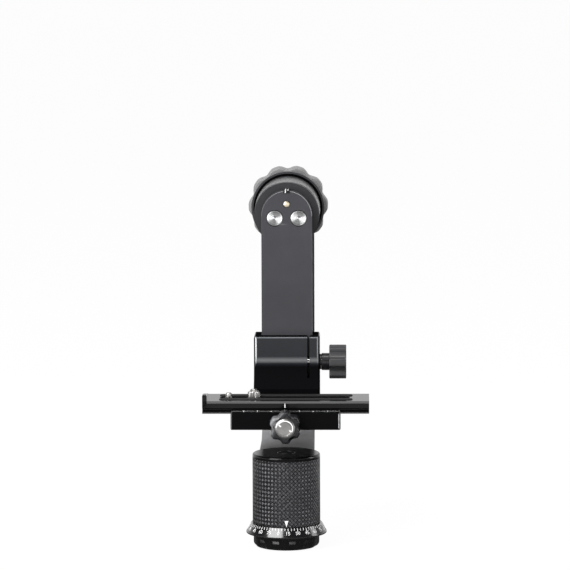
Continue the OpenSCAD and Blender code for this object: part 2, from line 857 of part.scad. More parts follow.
module tilt_outer_races() {
    color("silver") at_tilt_bearings() outer_race(tilt_bore_r, tilt_bearing_r, tilt_bearing_w);
}

module tilt_balls() {
    color("white") at_tilt_bearings()
        ball_row(tilt_bore_r, tilt_bearing_r, tilt_bearing_w, tilt_ball_count);
}

module tilt_friction_disc() {
    color("#3a2f28") tube_tilt(hub_groove_r, tilt_bearing_r + tilt_disc_edge, tilt_disc_y0, hub_y0);
}

module tilt_shaft() {
    collar_r = land_in(tilt_bore_r, tilt_bearing_r);
    color("silver") {
        rod_y(shaft_spigot_r, arm_rear_y, tilt_flange_y1 + cut, 0, tilt_h);
        rod_y(collar_r, tilt_flange_y1, tilt_front_y, 0, tilt_h);
        rod_y(tilt_bore_r, tilt_flange_y1, tilt_rear_y + tilt_bearing_w + shaft_thread_l, 0, tilt_h);
        rod_y(shaft_end_r, tilt_front_y, shaft_y1, 0, tilt_h);
    }
}

module tilt_flange() {
    color("#2a2a2d") difference() {
        tube_tilt(tilt_flange_r, shaft_spigot_r + fit, arm_rear_y, tilt_flange_y1);
        at_arm_bolts() rod_y(bolt_r + fit, arm_rear_y - cut, tilt_flange_y1 + cut);
        rod_y(dowel_r + fit, arm_rear_y - cut, tilt_flange_y1 + cut, 0, tilt_h + dowel_rise);
    }
}

module tilt_inner_races() {
    color("silver") at_tilt_bearings() inner_race(tilt_bore_r, tilt_bearing_r, tilt_bearing_w);
}

module tilt_spacer() {
    color("gray") tube_tilt(land_in(tilt_bore_r, tilt_bearing_r), tilt_bore_r + fit,
        tilt_front_y + tilt_bearing_w, tilt_rear_y);
}

module shaft_nut() {
    nut_y0 = tilt_rear_y + tilt_bearing_w;
    color("silver") tube_tilt(shaft_nut_r, tilt_bore_r + fit, nut_y0, nut_y0 + shaft_nut_h);
}

// Tilt knob

module tilt_knob() {
    color("#26262a") difference() {
        translate([0, 0, tilt_h]) front_plate(tilt_knob_y0, tilt_knob_y1)
            lobed_outline(tilt_knob_r, tilt_knob_valley, tilt_knob_lobes, tilt_knob_turn);
        rod_y(knob_insert_r + fit, tilt_knob_y0 - cut, tilt_knob_floor_y, 0, tilt_h);
        rod_y(pad_stub_r + fit, tilt_knob_floor_y - cut, tilt_knob_floor_y + pad_stub_l, 0, tilt_h);
        rod_y(tilt_cap_r + fit, tilt_knob_y1 - tilt_cap_t, tilt_knob_y1 + cut, 0, tilt_h);
    }
}

module tilt_knob_insert() {
    color("goldenrod") tube_tilt(knob_insert_r, spigot_r + fit, tilt_knob_y0, tilt_knob_floor_y);
}

module pressure_pad() {
    color("goldenrod") {
        rod_y(shaft_end_r, shaft_y1 + pad_gap, tilt_knob_floor_y, 0, tilt_h);
        rod_y(pad_stub_r, shaft_y1 + pad_gap, tilt_knob_floor_y + pad_stub_l, 0, tilt_h);
    }
}

module tilt_knob_cap() {
    color("#1c1c1e") rod_y(tilt_cap_r, tilt_knob_y1 - tilt_cap_t, tilt_knob_y1, 0, tilt_h);
}

// Swing arm

module at_arm_bolts() {
    for (side = [-1, 1]) translate([side * bolt_pitch / 2, 0, tilt_h - bolt_drop]) children();
}

module swing_arm() {
    color("#45454c") difference() {
        front_plate(arm_front_y, arm_rear_y) union() {
            translate([-arm_w / 2, arm_z0]) square([arm_w, arm_drop]);
            translate([0, tilt_h]) circle(r = arm_w / 2);
        }
        at_arm_bolts() {
            rod_y(bolt_r + fit, arm_front_y - cut, arm_rear_y + cut);
            rod_y(bolt_head_r + seat_gap, arm_front_y - cut, arm_front_y + bolt_recess);
        }
        rod_y(dowel_r + fit, arm_front_y - cut, arm_rear_y + cut, 0, tilt_h + dowel_rise);
        translate([0, (arm_front_y + arm_rear_y) / 2, 0])
            rod_z(frame_screw_r + fit, arm_z0 - cut, arm_z0 + stop_screw_grip + cut);
    }
}

module arm_bolts() {
    color("silver") at_arm_bolts() difference() {
        union() {
            rod_y(bolt_head_r, arm_front_y + bolt_recess - bolt_head_h, arm_front_y + bolt_recess);
            rod_y(bolt_r, arm_front_y + bolt_recess - bolt_head_h / 2, arm_rear_y + bolt_grip);
        }
        translate([0, arm_front_y - cut, 0]) rotate([-90, 0, 0])
            cylinder(r = bolt_head_r * bolt_socket_share, h = bolt_recess - bolt_head_h / 2 + cut, $fn = 6);
    }
}

module brass_dowel() {
    color("goldenrod")
        rod_y(dowel_r, arm_front_y + dowel_sink, arm_rear_y + dowel_grip, 0, tilt_h + dowel_rise);
}

module arm_stop() {
    color("#1c1c1e") difference() {
        box(-stop_w / 2, stop_w / 2, arm_front_y, arm_rear_y, stop_z0, arm_z0);
        translate([0, (arm_front_y + arm_rear_y) / 2, 0]) {
            rod_z(frame_screw_r + fit, stop_z0 - cut, arm_z0 + cut);
            rod_z(frame_screw_head_r + run_gap, stop_z0 - cut, stop_z0 + stop_screw_head_h);
        }
    }
}

module arm_stop_screw() {
    color("dimgray") translate([0, (arm_front_y + arm_rear_y) / 2, stop_z0]) mirror([0, 0, 1])
        screw_down(frame_screw_r, frame_screw_head_r, stop_screw_head_h, 0, -stop_t - stop_screw_grip);
}

// Cradle

module at_base_screws() {
    for (side = [-1, 1], share = base_screw_y_shares)
        translate([side * base_screw_x, tongue_y0 + (base_y1 - tongue_y0) * share, 0]) children();
}

module block_outline_side() {
    difference() {
        union() {
            translate([nose_y, nose_z0]) square([block_rear_y - nose_y, block_z1 - nose_z0]);
            translate([base_y1, block_z0]) square([block_rear_y - base_y1, nose_z0 - block_z0 + cut]);
        }
        translate([sweep_y, sweep_z]) circle(r = sweep_r);
        translate([sweep_y, sweep_z]) square([sweep_r, block_h]);
    }
}

module cradle_block() {
    channel_x = arm_w / 2 + slide_gap;
    color("#34343a") difference() {
        union() {
            side_plate(-block_w / 2, block_w / 2) block_outline_side();
            box(-tongue_w / 2, tongue_w / 2, tongue_y0, base_y1 + cut, tongue_z0, tongue_z1);
        }
        box(-channel_x, channel_x, channel_y0, channel_y1, block_z0 - cut, block_z1 + cut);
        box(slit_x, slit_x + slit_w, nose_y, channel_y0 + cut, block_z1 - slit_l, block_z1 + cut);
        rod_x(cradle_screw_r + fit, slit_x - cradle_screw_grip, block_w / 2 + cut,
            cradle_screw_y, cradle_screw_z);
        at_base_screws() {
            rod_z(frame_screw_r + fit, tongue_z0 - cut, tongue_z1 + cut);
            rod_z(frame_screw_head_r + run_gap, tongue_z0 - cut, tongue_z0 + base_screw_head_h);
        }
    }
}

module clamp_base() {
    color("#1a1a1c") difference() {
        side_plate(-clamp_base_l / 2, clamp_base_l / 2) polygon([
            [base_y0, block_z0], [base_y1, block_z0], [base_y1, lip_z],
            [plate_y + jaw_face_gap - (jaw_lip_h - bed_gap - dovetail_foot), lip_z],
            [plate_y + jaw_face_gap, bed_z + bed_gap + dovetail_foot], [plate_y + jaw_face_gap, bed_z],
            [base_y0, bed_z]
        ]);
        box(-tongue_w / 2 - slide_gap, tongue_w / 2 + slide_gap, tongue_y0 - slide_gap, base_y1 + cut,
            block_z0 - cut, tongue_z1);
        at_base_screws() rod_z(frame_screw_r + fit, tongue_z1 - cut, tongue_z1 + base_screw_grip);
        rod_y(clamp_screw_r + fit, base_y0 - cut, base_y0 + clamp_screw_grip + seat_gap, 0, clamp_screw_z);
        for (side = [-1, 1])
            rod_y(guide_pin_r + fit, base_y0 - cut, jaw_y0 + guide_pin_sink + guide_pin_l + seat_gap,
                side * guide_pin_x, guide_pin_z);
    }
}

module clamp_base_screws() {
    color("dimgray") at_base_screws() translate([0, 0, tongue_z0]) mirror([0, 0, 1])
        screw_down(frame_screw_r, frame_screw_head_r, base_screw_head_h, 0, -tongue_t - base_screw_grip);
}

module cradle_washer() {
    color("#101012") translate([block_w / 2, cradle_screw_y, cradle_screw_z]) difference() {
        rod_x(washer_r, 0, washer_t);
        rod_x(cradle_screw_r + fit, -cut, washer_t + cut);
    }
}

// Cradle knob

module cradle_knob() {
    neck_x = block_w / 2 + washer_t;
    head_x = neck_x + cradle_neck_l;
    color("#2a2a2e") translate([0, cradle_screw_y, cradle_screw_z]) difference() {
        union() {
            rod_x(cradle_neck_r, neck_x + run_gap, head_x + cut);
            translate([head_x, 0, 0]) rotate([90, 0, 90]) linear_extrude(cradle_knob_l)
                lobed_outline(cradle_knob_r, cradle_knob_valley, cradle_knob_lobes, cradle_knob_turn);
        }
        rod_x(cradle_screw_r + fit, neck_x - cut, neck_x + knob_bore_l);
    }
}

module cradle_clamp_screw() {
    color("silver") rod_x(cradle_screw_r, slit_x - cradle_screw_grip + seat_gap,
        block_w / 2 + washer_t + knob_bore_l, cradle_screw_y, cradle_screw_z);
}

// Plate clamp

module moving_jaw() {
    color("#141416") difference() {
        side_plate(-jaw_l / 2, jaw_l / 2) polygon([
            [jaw_y0, block_z0], [jaw_y1, block_z0], [jaw_y1, bed_z],
            [-plate_y - jaw_face_gap, bed_z], [-plate_y - jaw_face_gap, bed_z + bed_gap + dovetail_foot],
            [-plate_y - jaw_face_gap + (jaw_lip_h - bed_gap - dovetail_foot), lip_z], [jaw_y0, lip_z]
        ]);
        rod_y(clamp_screw_r + fit, jaw_y0 - cut, jaw_y1 + cut, 0, clamp_screw_z);
        for (x = [-guide_pin_x, guide_pin_x])
            rod_y(guide_pin_r + fit, jaw_y0 + guide_pin_sink, jaw_y1 + cut, x, guide_pin_z);
    }
}

module jaw_guide_pins() {
    color("silver") for (side = [-1, 1])
        rod_y(guide_pin_r, jaw_y0 + guide_pin_sink, jaw_y0 + guide_pin_sink + guide_pin_l,
            side * guide_pin_x, guide_pin_z);
}

module clamp_knob() {
    head_y = jaw_y0 - clamp_neck_l;
    front_y = head_y - clamp_knob_l;
    color("#1c1c1e") translate([0, 0, clamp_screw_z]) difference() {
        union() {
            rod_y(clamp_neck_r, head_y - cut, jaw_y0 - run_gap);
            front_plate(front_y, head_y)
                lobed_outline(clamp_knob_r, clamp_knob_valley, clamp_knob_lobes, clamp_knob_turn);
        }
        rod_y(clamp_screw_r + fit, head_y - knob_bore_l, jaw_y0 + cut);
        rod_y(clamp_cap_r + fit, front_y - cut, front_y + clamp_cap_t);
    }
}

module clamp_knob_cap() {
    front_y = jaw_y0 - clamp_neck_l - clamp_knob_l;
    color("silver") rod_y(clamp_cap_r, front_y - clamp_cap_proud, front_y + clamp_cap_t, 0, clamp_screw_z);
}

module clamp_screw() {
    color("silver") rod_y(clamp_screw_r, jaw_y0 - clamp_neck_l - knob_bore_l, base_y0 + clamp_screw_grip,
        0, clamp_screw_z);
}

// Plate

// Outline of the plate's front half, from the side, at a width
function plate_half_outline(side) = [
    [side * plate_y, plate_z0], [side * plate_y, plate_z0 + dovetail_foot],
    [side * (plate_y - dovetail_h + dovetail_foot), plate_z0 + dovetail_h],
    [side * (plate_y - dovetail_h + dovetail_foot), plate_z0 + dovetail_h + groove_h - groove_slope],
    [side * plate_y, plate_z0 + dovetail_h + groove_h],
    [side * plate_y, plate_z1 - plate_chamfer], [side * (plate_y - plate_chamfer), plate_z1]
];

function reversed(points) = [for (i = [len(points) - 1 : -1 : 0]) points[i]];

// Straight slot with round ends
module round_slot(x0, x1, w, z0, z1) {
    translate([0, 0, z0]) linear_extrude(z1 - z0) {
        translate([x0 + w / 2, -w / 2]) square([x1 - x0 - w, w]);
        for (x = [x0 + w / 2, x1 - w / 2]) translate([x, 0]) circle(r = w / 2);
    }
}

module lens_plate() {
    lip_z0 = plate_z1 - plate_chamfer;
    lip_z1 = plate_z1 + end_lip_h;
    color("#3c3c42") difference() {
        union() {
            side_plate(-plate_l / 2, plate_l / 2)
                polygon(concat(plate_half_outline(1), reversed(plate_half_outline(-1))));
            front_plate(-plate_y, plate_y) polygon(concat(
                [[end_lip_t - plate_l / 2, lip_z0]],
                arc(end_lip_t - plate_l / 2 - end_lip_round, lip_z1 - end_lip_round, end_lip_round, 0, 90),
                arc(end_lip_round - plate_l / 2, lip_z1 - end_lip_round, end_lip_round, 90, 180),
                [[-plate_l / 2, lip_z0]]
            ));
        }
        round_slot(slot_x0, slot_x1, slot_w, plate_z0 - cut, plate_z1 + cut);
        round_slot(slot_x0 - under_slot_extra, slot_x1 + under_slot_extra, under_slot_w,
            plate_z0 - cut, plate_z0 + under_slot_h);
        for (side = [-1, 1]) {
            translate([0, side * strip_place, 0])
                round_slot(-strip_l / 2 - run_gap, strip_l / 2 + run_gap, strip_w + 2 * run_gap,
                    plate_z1 - strip_sink, plate_z1 + cut);
            translate([side * stop_screw_x, 0, 0])
                rod_z(stop_screw_r + fit, plate_z0 - cut, plate_z0 + stop_screw_up + seat_gap);
        }
    }
}

module rubber_strips() {
    color("#151515") for (side = [-1, 1]) translate([0, side * strip_place, 0])
        round_slot(-strip_l / 2, strip_l / 2, strip_w,
            plate_z1 - strip_sink, plate_z1 - strip_sink + strip_t);
}

module plate_stop_screws() {
    color("silver") for (side = [-1, 1]) translate([side * stop_screw_x, 0, 0]) {
        rod_z(stop_screw_head_r, plate_z0 - stop_screw_hang, plate_z0);
        rod_z(stop_screw_r, plate_z0 - stop_screw_hang / 2, plate_z0 + stop_screw_up);
    }
}

module screw_carrier() {
    x0 = twist_pin_x - carrier_left;
    x1 = camera_screw_x + carrier_right;
    color("gray") difference() {
        union() {
            round_slot(x0, x1, under_slot_w - 2 * carrier_side_gap, carrier_z0, carrier_roof);
            round_slot(x0 + carrier_step, x1 - carrier_step, slot_w - 2 * carrier_side_gap,
                carrier_z0, carrier_neck_top);
            translate([twist_pin_x, 0, 0]) rod_z(pin_boss_r, pin_boss_z, carrier_z0 + cut);
        }
        translate([camera_screw_x, 0, 0])
            rod_z(screw_shank_r + fit, carrier_z0 - cut, carrier_neck_top + cut);
        translate([twist_pin_x, 0, 0]) {
            rod_z(pin_bore_r, pin_boss_z - cut, pin_roof_z);
            rod_z(pin_shank_r + fit, pin_roof_z - cut, carrier_neck_top + cut);
        }
    }
}

module camera_screw() {
    color("silver") translate([camera_screw_x, 0, 0]) difference() {
        union() {
            rod_z(screw_head_r, carrier_z0 - run_gap - screw_head_h, carrier_z0 - run_gap);
            rod_z(screw_shank_r, carrier_z0 - screw_head_h, plate_z1);
            rod_z(shoulder_r, carrier_neck_top + run_gap, plate_z1 + shoulder_h);
            rod_z(camera_screw_r, plate_z1, plate_z1 + camera_screw_h);
        }
        box(-screw_head_r - cut, screw_head_r + cut, -coin_slot_w / 2, coin_slot_w / 2,
            carrier_z0 - run_gap - screw_head_h - cut, carrier_z0 - run_gap - screw_head_h + coin_slot_h);
    }
}

module anti_twist_pin() {
    color("silver") translate([twist_pin_x, 0, 0]) {
        rod_z(pin_flange_r, pin_low_z, pin_low_z + pin_flange_h);
        rod_z(pin_shank_r, pin_low_z, plate_z1);
        rod_z(twist_pin_r, pin_low_z, plate_z1 + twist_pin_h);
    }
}

// Points of one ring of the spring's wire, at a share of the spring's turns
function spring_ring(share, low, high) = [
    for (i = [0 : spring_sides - 1])
        let (a = 360 * spring_turns * share, b = 360 * i / spring_sides,
             r = spring_r + spring_wire_r * cos(b))
        [r * cos(a), r * sin(a), low + (high - low) * share + spring_wire_r * sin(b)]
];

module pin_spring() {
    low = pin_plug_z1 + spring_wire_r + run_gap;
    high = pin_low_z - spring_wire_r - run_gap;
    rings = floor(spring_turns * spring_steps);
    sides = spring_sides;
    points = [for (k = [0 : rings]) each spring_ring(k / rings, low, high)];
    walls = [for (k = [0 : rings - 1], i = [0 : sides - 1])
        each [
            [k * sides + i, (k + 1) * sides + i, k * sides + (i + 1) % sides],
            [(k + 1) * sides + i, (k + 1) * sides + (i + 1) % sides, k * sides + (i + 1) % sides]
        ]];
    start = [for (i = [1 : sides - 2]) [0, i, i + 1]];
    end = [for (i = [1 : sides - 2]) [rings * sides, rings * sides + i + 1, rings * sides + i]];
    color("silver") translate([twist_pin_x, 0, 0]) polyhedron(points, concat(walls, start, end));
}

module pin_plug() {
    color("dimgray") translate([twist_pin_x, 0, 0]) rod_z(pin_bore_r - fit, pin_boss_z, pin_plug_z1);
}

base_core();
thread_insert();
scale_ring();
brake_pins();
brake_disc();
pan_inner_races();
pan_spacer();
spindle_nut();
pan_lock_ring();
pan_housing();
pan_outer_races();
pan_balls();
carbon_sleeve();
base_cap();
arm_foot();
upright_arm();
foot_screws();
upright_screws();
hub_housing();
hub_screws();
tilt_outer_races();
tilt_balls();
tilt_friction_disc();
tilt_knob();
tilt_knob_insert();
pressure_pad();
tilt_knob_cap();
tilt_shaft();
tilt_flange();
tilt_inner_races();
tilt_spacer();
shaft_nut();
swing_arm();
arm_bolts();
brass_dowel();
arm_stop();
arm_stop_screw();
cradle_block();
clamp_base();
clamp_base_screws();
cradle_washer();
cradle_knob();
cradle_clamp_screw();
moving_jaw();
jaw_guide_pins();
clamp_knob();
clamp_knob_cap();
clamp_screw();
lens_plate();
rubber_strips();
plate_stop_screws();
screw_carrier();
camera_screw();
anti_twist_pin();
pin_spring();
pin_plug();
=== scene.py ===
# %% [markdown]
# A gimbal tripod head, dressed for its portrait.
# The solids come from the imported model, in metres, with the origin under the middle of the base.
# This script gives them edges, finishes, printing, lamps and a camera. Each cell does one thing.

# %% Load the solid model
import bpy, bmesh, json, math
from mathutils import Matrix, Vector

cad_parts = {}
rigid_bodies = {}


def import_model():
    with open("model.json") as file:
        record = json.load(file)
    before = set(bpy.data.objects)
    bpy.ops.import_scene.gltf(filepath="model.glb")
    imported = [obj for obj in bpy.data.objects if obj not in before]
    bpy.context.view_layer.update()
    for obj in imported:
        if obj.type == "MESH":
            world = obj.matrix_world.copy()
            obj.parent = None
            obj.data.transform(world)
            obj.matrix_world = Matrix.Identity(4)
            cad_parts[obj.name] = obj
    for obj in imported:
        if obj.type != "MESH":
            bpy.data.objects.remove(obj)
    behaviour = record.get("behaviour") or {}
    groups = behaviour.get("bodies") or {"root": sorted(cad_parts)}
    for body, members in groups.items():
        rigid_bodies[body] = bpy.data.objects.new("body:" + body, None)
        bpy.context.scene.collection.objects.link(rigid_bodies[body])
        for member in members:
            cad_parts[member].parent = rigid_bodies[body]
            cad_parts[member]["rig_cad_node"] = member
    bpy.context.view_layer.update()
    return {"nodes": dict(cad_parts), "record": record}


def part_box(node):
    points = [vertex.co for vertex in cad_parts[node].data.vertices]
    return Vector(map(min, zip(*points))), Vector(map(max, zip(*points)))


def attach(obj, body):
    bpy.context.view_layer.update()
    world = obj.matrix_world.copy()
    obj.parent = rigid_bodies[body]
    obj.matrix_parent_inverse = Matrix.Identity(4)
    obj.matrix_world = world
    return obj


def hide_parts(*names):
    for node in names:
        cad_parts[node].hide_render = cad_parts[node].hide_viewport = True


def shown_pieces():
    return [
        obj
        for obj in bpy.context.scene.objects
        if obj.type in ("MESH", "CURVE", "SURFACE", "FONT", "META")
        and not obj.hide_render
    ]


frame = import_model()

# %% [markdown]
# Sizes on the head are written in millimetres and turned into metres by one value, MM.

MM = 0.001
nodes = frame["nodes"]


# %% [markdown]
# The camera stands almost three metres away and a little above the head, as a long lens would.
# It was found by matching the head's own edges and centres with the picture: a lens of 253 mm on
# a 36 mm sensor, half a metre up, looking seven degrees down. It stands 5 cm to the right and
# leans by a fifth of a degree, so the knob behind the arm shows a little more on the right.

# %% Camera
camera = bpy.data.objects.new("camera", bpy.data.cameras.new("camera"))
bpy.context.scene.collection.objects.link(camera)
bpy.context.scene.camera = camera
camera.location = (0.0538, -2.8643, 0.557)
camera.rotation_euler = (math.pi / 2 - 0.1272, 0.0034, 0.01852)
camera.data.sensor_width = 36
camera.data.lens = 253.37
camera.data.clip_start, camera.data.clip_end = 0.1, 100
print("camera distance:", round(camera.location.length, 3), "m")

# %% [markdown]
# Shader sums are easier to read as sums. A Value wraps the output of a shader node, and the usual
# signs between two Values, or a Value and a number, add the Math node that does it. Its ramp
# spreads a stretch of the value over 0 to 1, which is how most patterns below get their edges.

# %% Values that add, multiply and compare
class Value:
    """The output of a shader node, which can be used in a sum."""

    def __init__(self, owner, socket):
        self.owner, self.socket = owner, socket

    def math(self, operation, *others):
        return self.owner.node("ShaderNodeMath", {"operation": operation},
                               dict(enumerate((self,) + others)))

    def __add__(self, other):
        return self.math("ADD", other)

    def __sub__(self, other):
        return self.math("SUBTRACT", other)

    def __rsub__(self, other):
        return self.owner.node("ShaderNodeMath", {"operation": "SUBTRACT"}, {0: other, 1: self})

    def __mul__(self, other):
        return self.math("MULTIPLY", other)

    def __truediv__(self, other):
        return self.math("DIVIDE", other)

    def __mod__(self, other):
        return self.math("MODULO", other)

    def __gt__(self, other):
        return self.math("GREATER_THAN", other)

    def __neg__(self):
        return 0 - self

    def __abs__(self):
        return self.math("ABSOLUTE")

    __radd__ = __add__
    __rmul__ = __mul__

    def most(self, other):
        """The larger of two values."""
        return self.math("MAXIMUM", other)

    def ramp(self, low, high, to_low=0.0, to_high=1.0):
        """The value from low to high spread over to_low to to_high, and held outside."""
        return self.owner.node("ShaderNodeMapRange", {"clamp": True},
                               {0: self, 1: low, 2: high, 3: to_low, 4: to_high})


# %% [markdown]
# Materials and the room's light are both trees of nodes. One method adds any node: first its
# settings, then what goes into its sockets. Patterns read Object coordinates, which are the same
# as places on the head, because every piece's object stays at the origin.

# %% Node trees
class Shading:
    """A node tree, and the ways to add to it."""

    def __init__(self, tree):
        self.tree = tree

    def put(self, socket, value):
        if isinstance(value, Value):
            self.tree.links.new(value.socket, socket)
        else:
            socket.default_value = value

    def node(self, kind, settings=None, inputs=None, out=0):
        made = self.tree.nodes.new(kind)
        for name, setting in (settings or {}).items():
            setattr(made, name, setting)
        for name, value in (inputs or {}).items():
            self.put(made.inputs[name], value)
        return Value(self, made.outputs[out])

    def vectors(self, operation, *inputs, out=0):
        """Vector Math on vectors. The length comes from output 1."""
        return self.node("ShaderNodeVectorMath", {"operation": operation},
                         dict(enumerate(inputs)), out)

    def scaled(self, vector, by):
        return self.node("ShaderNodeVectorMath", {"operation": "SCALE"}, {0: vector, "Scale": by})

    def vector(self, x, y, z):
        return self.node("ShaderNodeCombineXYZ", inputs={0: x, 1: y, 2: z})

    def parts(self, vector):
        split = self.node("ShaderNodeSeparateXYZ", inputs={0: vector}).socket.node
        return [Value(self, socket) for socket in split.outputs]

    def place(self, centre=(0, 0, 0)):
        """Object coordinates measured from a centre, as a vector."""
        return self.vectors("SUBTRACT", self.node("ShaderNodeTexCoord", out=3), centre)

    def xyz(self, centre=(0, 0, 0)):
        return self.parts(self.place(centre))

    def noise(self, scale, detail):
        return self.node("ShaderNodeTexNoise", inputs={
            "Vector": self.place(), "Scale": scale, "Detail": detail})

    def lines(self, along, scale, detail, rough=0.5):
        """Noise that changes along one value only, in millimetres, as fine lines do."""
        return self.node("ShaderNodeTexNoise", {"noise_dimensions": "1D"}, {
            "W": along / MM, "Scale": scale, "Detail": detail, "Roughness": rough})

    def mix(self, share, first, second):
        """A colour between two colours."""
        mixed = self.node("ShaderNodeMix", {"data_type": "RGBA"}, {0: share, 6: first, 7: second})
        return Value(self, mixed.socket.node.outputs[2])

    def mix_vectors(self, share, first, second):
        mixed = self.node("ShaderNodeMix", {"data_type": "VECTOR"},
                          {0: share, 4: first, 5: second})
        return Value(self, mixed.socket.node.outputs[1])

    def mix_shaders(self, share, first, second):
        return self.node("ShaderNodeMixShader", inputs={0: share, 1: first, 2: second})


# %% [markdown]
# A Finish is one material. It starts with the shader's plain numbers, which stay on the shader
# itself, and only what changes over the surface is fed from other nodes. Where a piece is glossy
# in one place and dull in another, a second, plainer shader is mixed over the first.

# %% Materials
class Finish(Shading):
    """One material, built from nodes."""

    def __init__(self, name, colour, roughness, metallic=0.0, **sockets):
        self.material = bpy.data.materials.new(name)
        self.material.use_nodes = True
        super().__init__(self.material.node_tree)
        self.shader = self.tree.nodes["Principled BSDF"]
        self.first = Value(self, self.shader.outputs[0])
        numbers = dict(sockets, Base_Color=colour + (1.0,), Roughness=roughness,
                       Metallic=metallic)
        for socket, number in numbers.items():
            self.shader.inputs[socket.replace("_", " ")].default_value = number

    def feed(self, socket, value):
        self.put(self.shader.inputs[socket], value)
        return self

    def varied(self, share, colour, darker, lighter):
        """The colour, darker or lighter by a share from 0 to 1."""
        return self.mix(share, shade(colour, darker), shade(colour, lighter))

    def paint(self, colour, bands=None):
        """Feeds the colour, after laying paler bands over it."""
        for pale, share in (bands(self) if bands else ()):
            colour = self.mix(share, colour, pale + (1.0,))
        return self.feed("Base Color", colour)

    def bump(self, height, strength, distance):
        return self.feed("Normal", self.node("ShaderNodeBump", inputs={
            "Height": height, "Strength": strength, "Distance": distance}))

    def show(self, shader):
        self.put(self.tree.nodes["Material Output"].inputs["Surface"], shader)
        return self

    def dulled(self, share, colour, roughness):
        """Mixes a dull shader without a shine over the first one, by a share from 0 to 1."""
        other = self.node("ShaderNodeBsdfPrincipled", inputs={
            "Base Color": colour + (1.0,), "Roughness": roughness, "Specular IOR Level": 0.0})
        return self.show(self.mix_shaders(share, self.first, other))


def shade(colour, by):
    """The colour made lighter or darker by a factor."""
    return tuple(min(1.0, part * by) for part in colour[:3]) + (1.0,)


# %% [markdown]
# Anodised aluminium is blasted or brushed before it is dyed, so it has a very fine even grain
# under the colour. Noise at two scales does that: the large one shifts the colour and the sheen a
# little, and the small one goes into a Bump node for the grain.

# %% Anodised aluminium
def anodised(name, colour, roughness, grain=0.12, specular=0.5, coat=0.0, bands=None):
    finish = Finish(name, colour, roughness, Specular_IOR_Level=specular, Coat_Roughness=0.08,
                    Coat_Weight=coat)
    cloud, speck = finish.noise(35, 4), finish.noise(2600, 2)
    tint = cloud.ramp(0.3, 0.7) * 0.7 + speck.ramp(0.35, 0.65) * 0.3
    finish.paint(finish.varied(tint, colour, 0.86, 1.14), bands)
    finish.feed("Roughness", roughness + (cloud - 0.5) * 0.10 + (speck - 0.5) * 0.08)
    return finish.bump(speck, grain, 0.00006)


finishes = {
    "black_anodised": anodised("black anodised", (0.0055, 0.0055, 0.0062), 0.27, specular=0.32),
    "scale_black": anodised("scale ring black", (0.006, 0.006, 0.007), 0.20, 0.05, 0.5, 0.55),
    "satin_grey": anodised("satin grey anodised", (0.040, 0.040, 0.046), 0.46, 0.2, 0.35),
    "flange_black": anodised("satin flange black", (0.020, 0.020, 0.023), 0.38, 0.1, 0.4),
    "plate_black": anodised("smooth plate black", (0.0045, 0.0045, 0.005), 0.15, 0.04, 0.3),
    "edge_glint": anodised("glossy edge black with painted highlight", (0.05, 0.05, 0.055), 0.30, 0.04, 0.8),
}
print("even finishes:", len(finishes))

# %% [markdown]
# Some finishes change over the piece, by place. Each band is a colour and its share from 0 to 1,
# and a share is a product of ramps along the axes. Most bands are painted highlights: the cradle
# block's bright lines along its front edges and its pale sheen where the wall starts to bend, the
# arm's round edge, paler towards the upper right, the tops of the lock ring's grips, and the
# jaw's right edge. The frame is painted lighter along its right side, beside the arm.

# %% Painted highlights and painted light
def between(value, low, high, soft):
    """A share that is one between two places and fades out over a soft distance."""
    return value.ramp(low - soft, low) * value.ramp(high + soft, high)


def turn_of(x, y):
    """The angle round the upright axis from the front, in radians."""
    return x.math("ARCTAN2", -y)


# Painted highlights on the cradle block: a pale band where the wall starts to bend, a bright line
# along the left front edge, and fainter lines along the right front edge and the top front edge.
def block_painted_highlights(finish):
    x, y, z = finish.xyz()
    front, upper = (-y).ramp(-0.0350, -0.0335), z.ramp(0.128, 0.134)
    left, right = between(x, -0.0228, -0.0221, 0.0003), between(x, 0.0222, 0.0227, 0.0003)
    top = between(z, 0.1474, 0.1479, 0.0003) * between(x, -0.0223, 0.0223, 0.0005)
    return [((0.105, 0.11, 0.115), between(z, 0.1310, 0.1316, 0.0022) * front),
            ((0.62, 0.63, 0.64), left * upper * front),
            ((0.20, 0.21, 0.22), right * upper * front),
            ((0.13, 0.14, 0.15), top * front)]


# A painted highlight on the arm's round edge, paler towards the upper right.
def arm_edge_painted_highlight(finish):
    x, y, z = finish.xyz()
    return [((0.30, 0.30, 0.31), x.ramp(-0.016, 0.012, 0.15) * z.ramp(0.222, 0.240))]


# Painted light: the frame is paler on its right side beside the arm, above the plate.
def frame_painted_light(finish):
    x, y, z = finish.xyz()
    return [((0.45, 0.45, 0.46), x.ramp(0.0160, 0.0175) * z.ramp(0.105, 0.125))]


grip_turn, grip_pitch = 18.5, 30


# Painted highlights at the tops of the lock ring's grips, brightest a little left of the front and
# fading round the ring, where the upper left lamp would show in them.
def grip_painted_highlights(finish):
    x, y, z = finish.xyz()
    turn = turn_of(x, y) * (180 / math.pi)
    grip = abs((turn + (360 + grip_turn + grip_pitch / 2)) % grip_pitch - grip_pitch / 2)
    grip = grip.ramp(6.5, 5.2)
    near = abs(turn + 12).ramp(60, 0, 0.1, 1.0)
    return [((0.20, 0.20, 0.20), grip * near * near * between(z, 0.0053, 0.0069, 0.0004))]


# A painted highlight along the jaw's right front edge.
def jaw_painted_highlight(finish):
    x, y, z = finish.xyz()
    right = between(x, 0.0381, 0.0386, 0.0003) * between(z, 0.0905, 0.1005, 0.0004)
    return [((0.42, 0.42, 0.43), right * (-y).ramp(0.0225, 0.0240))]


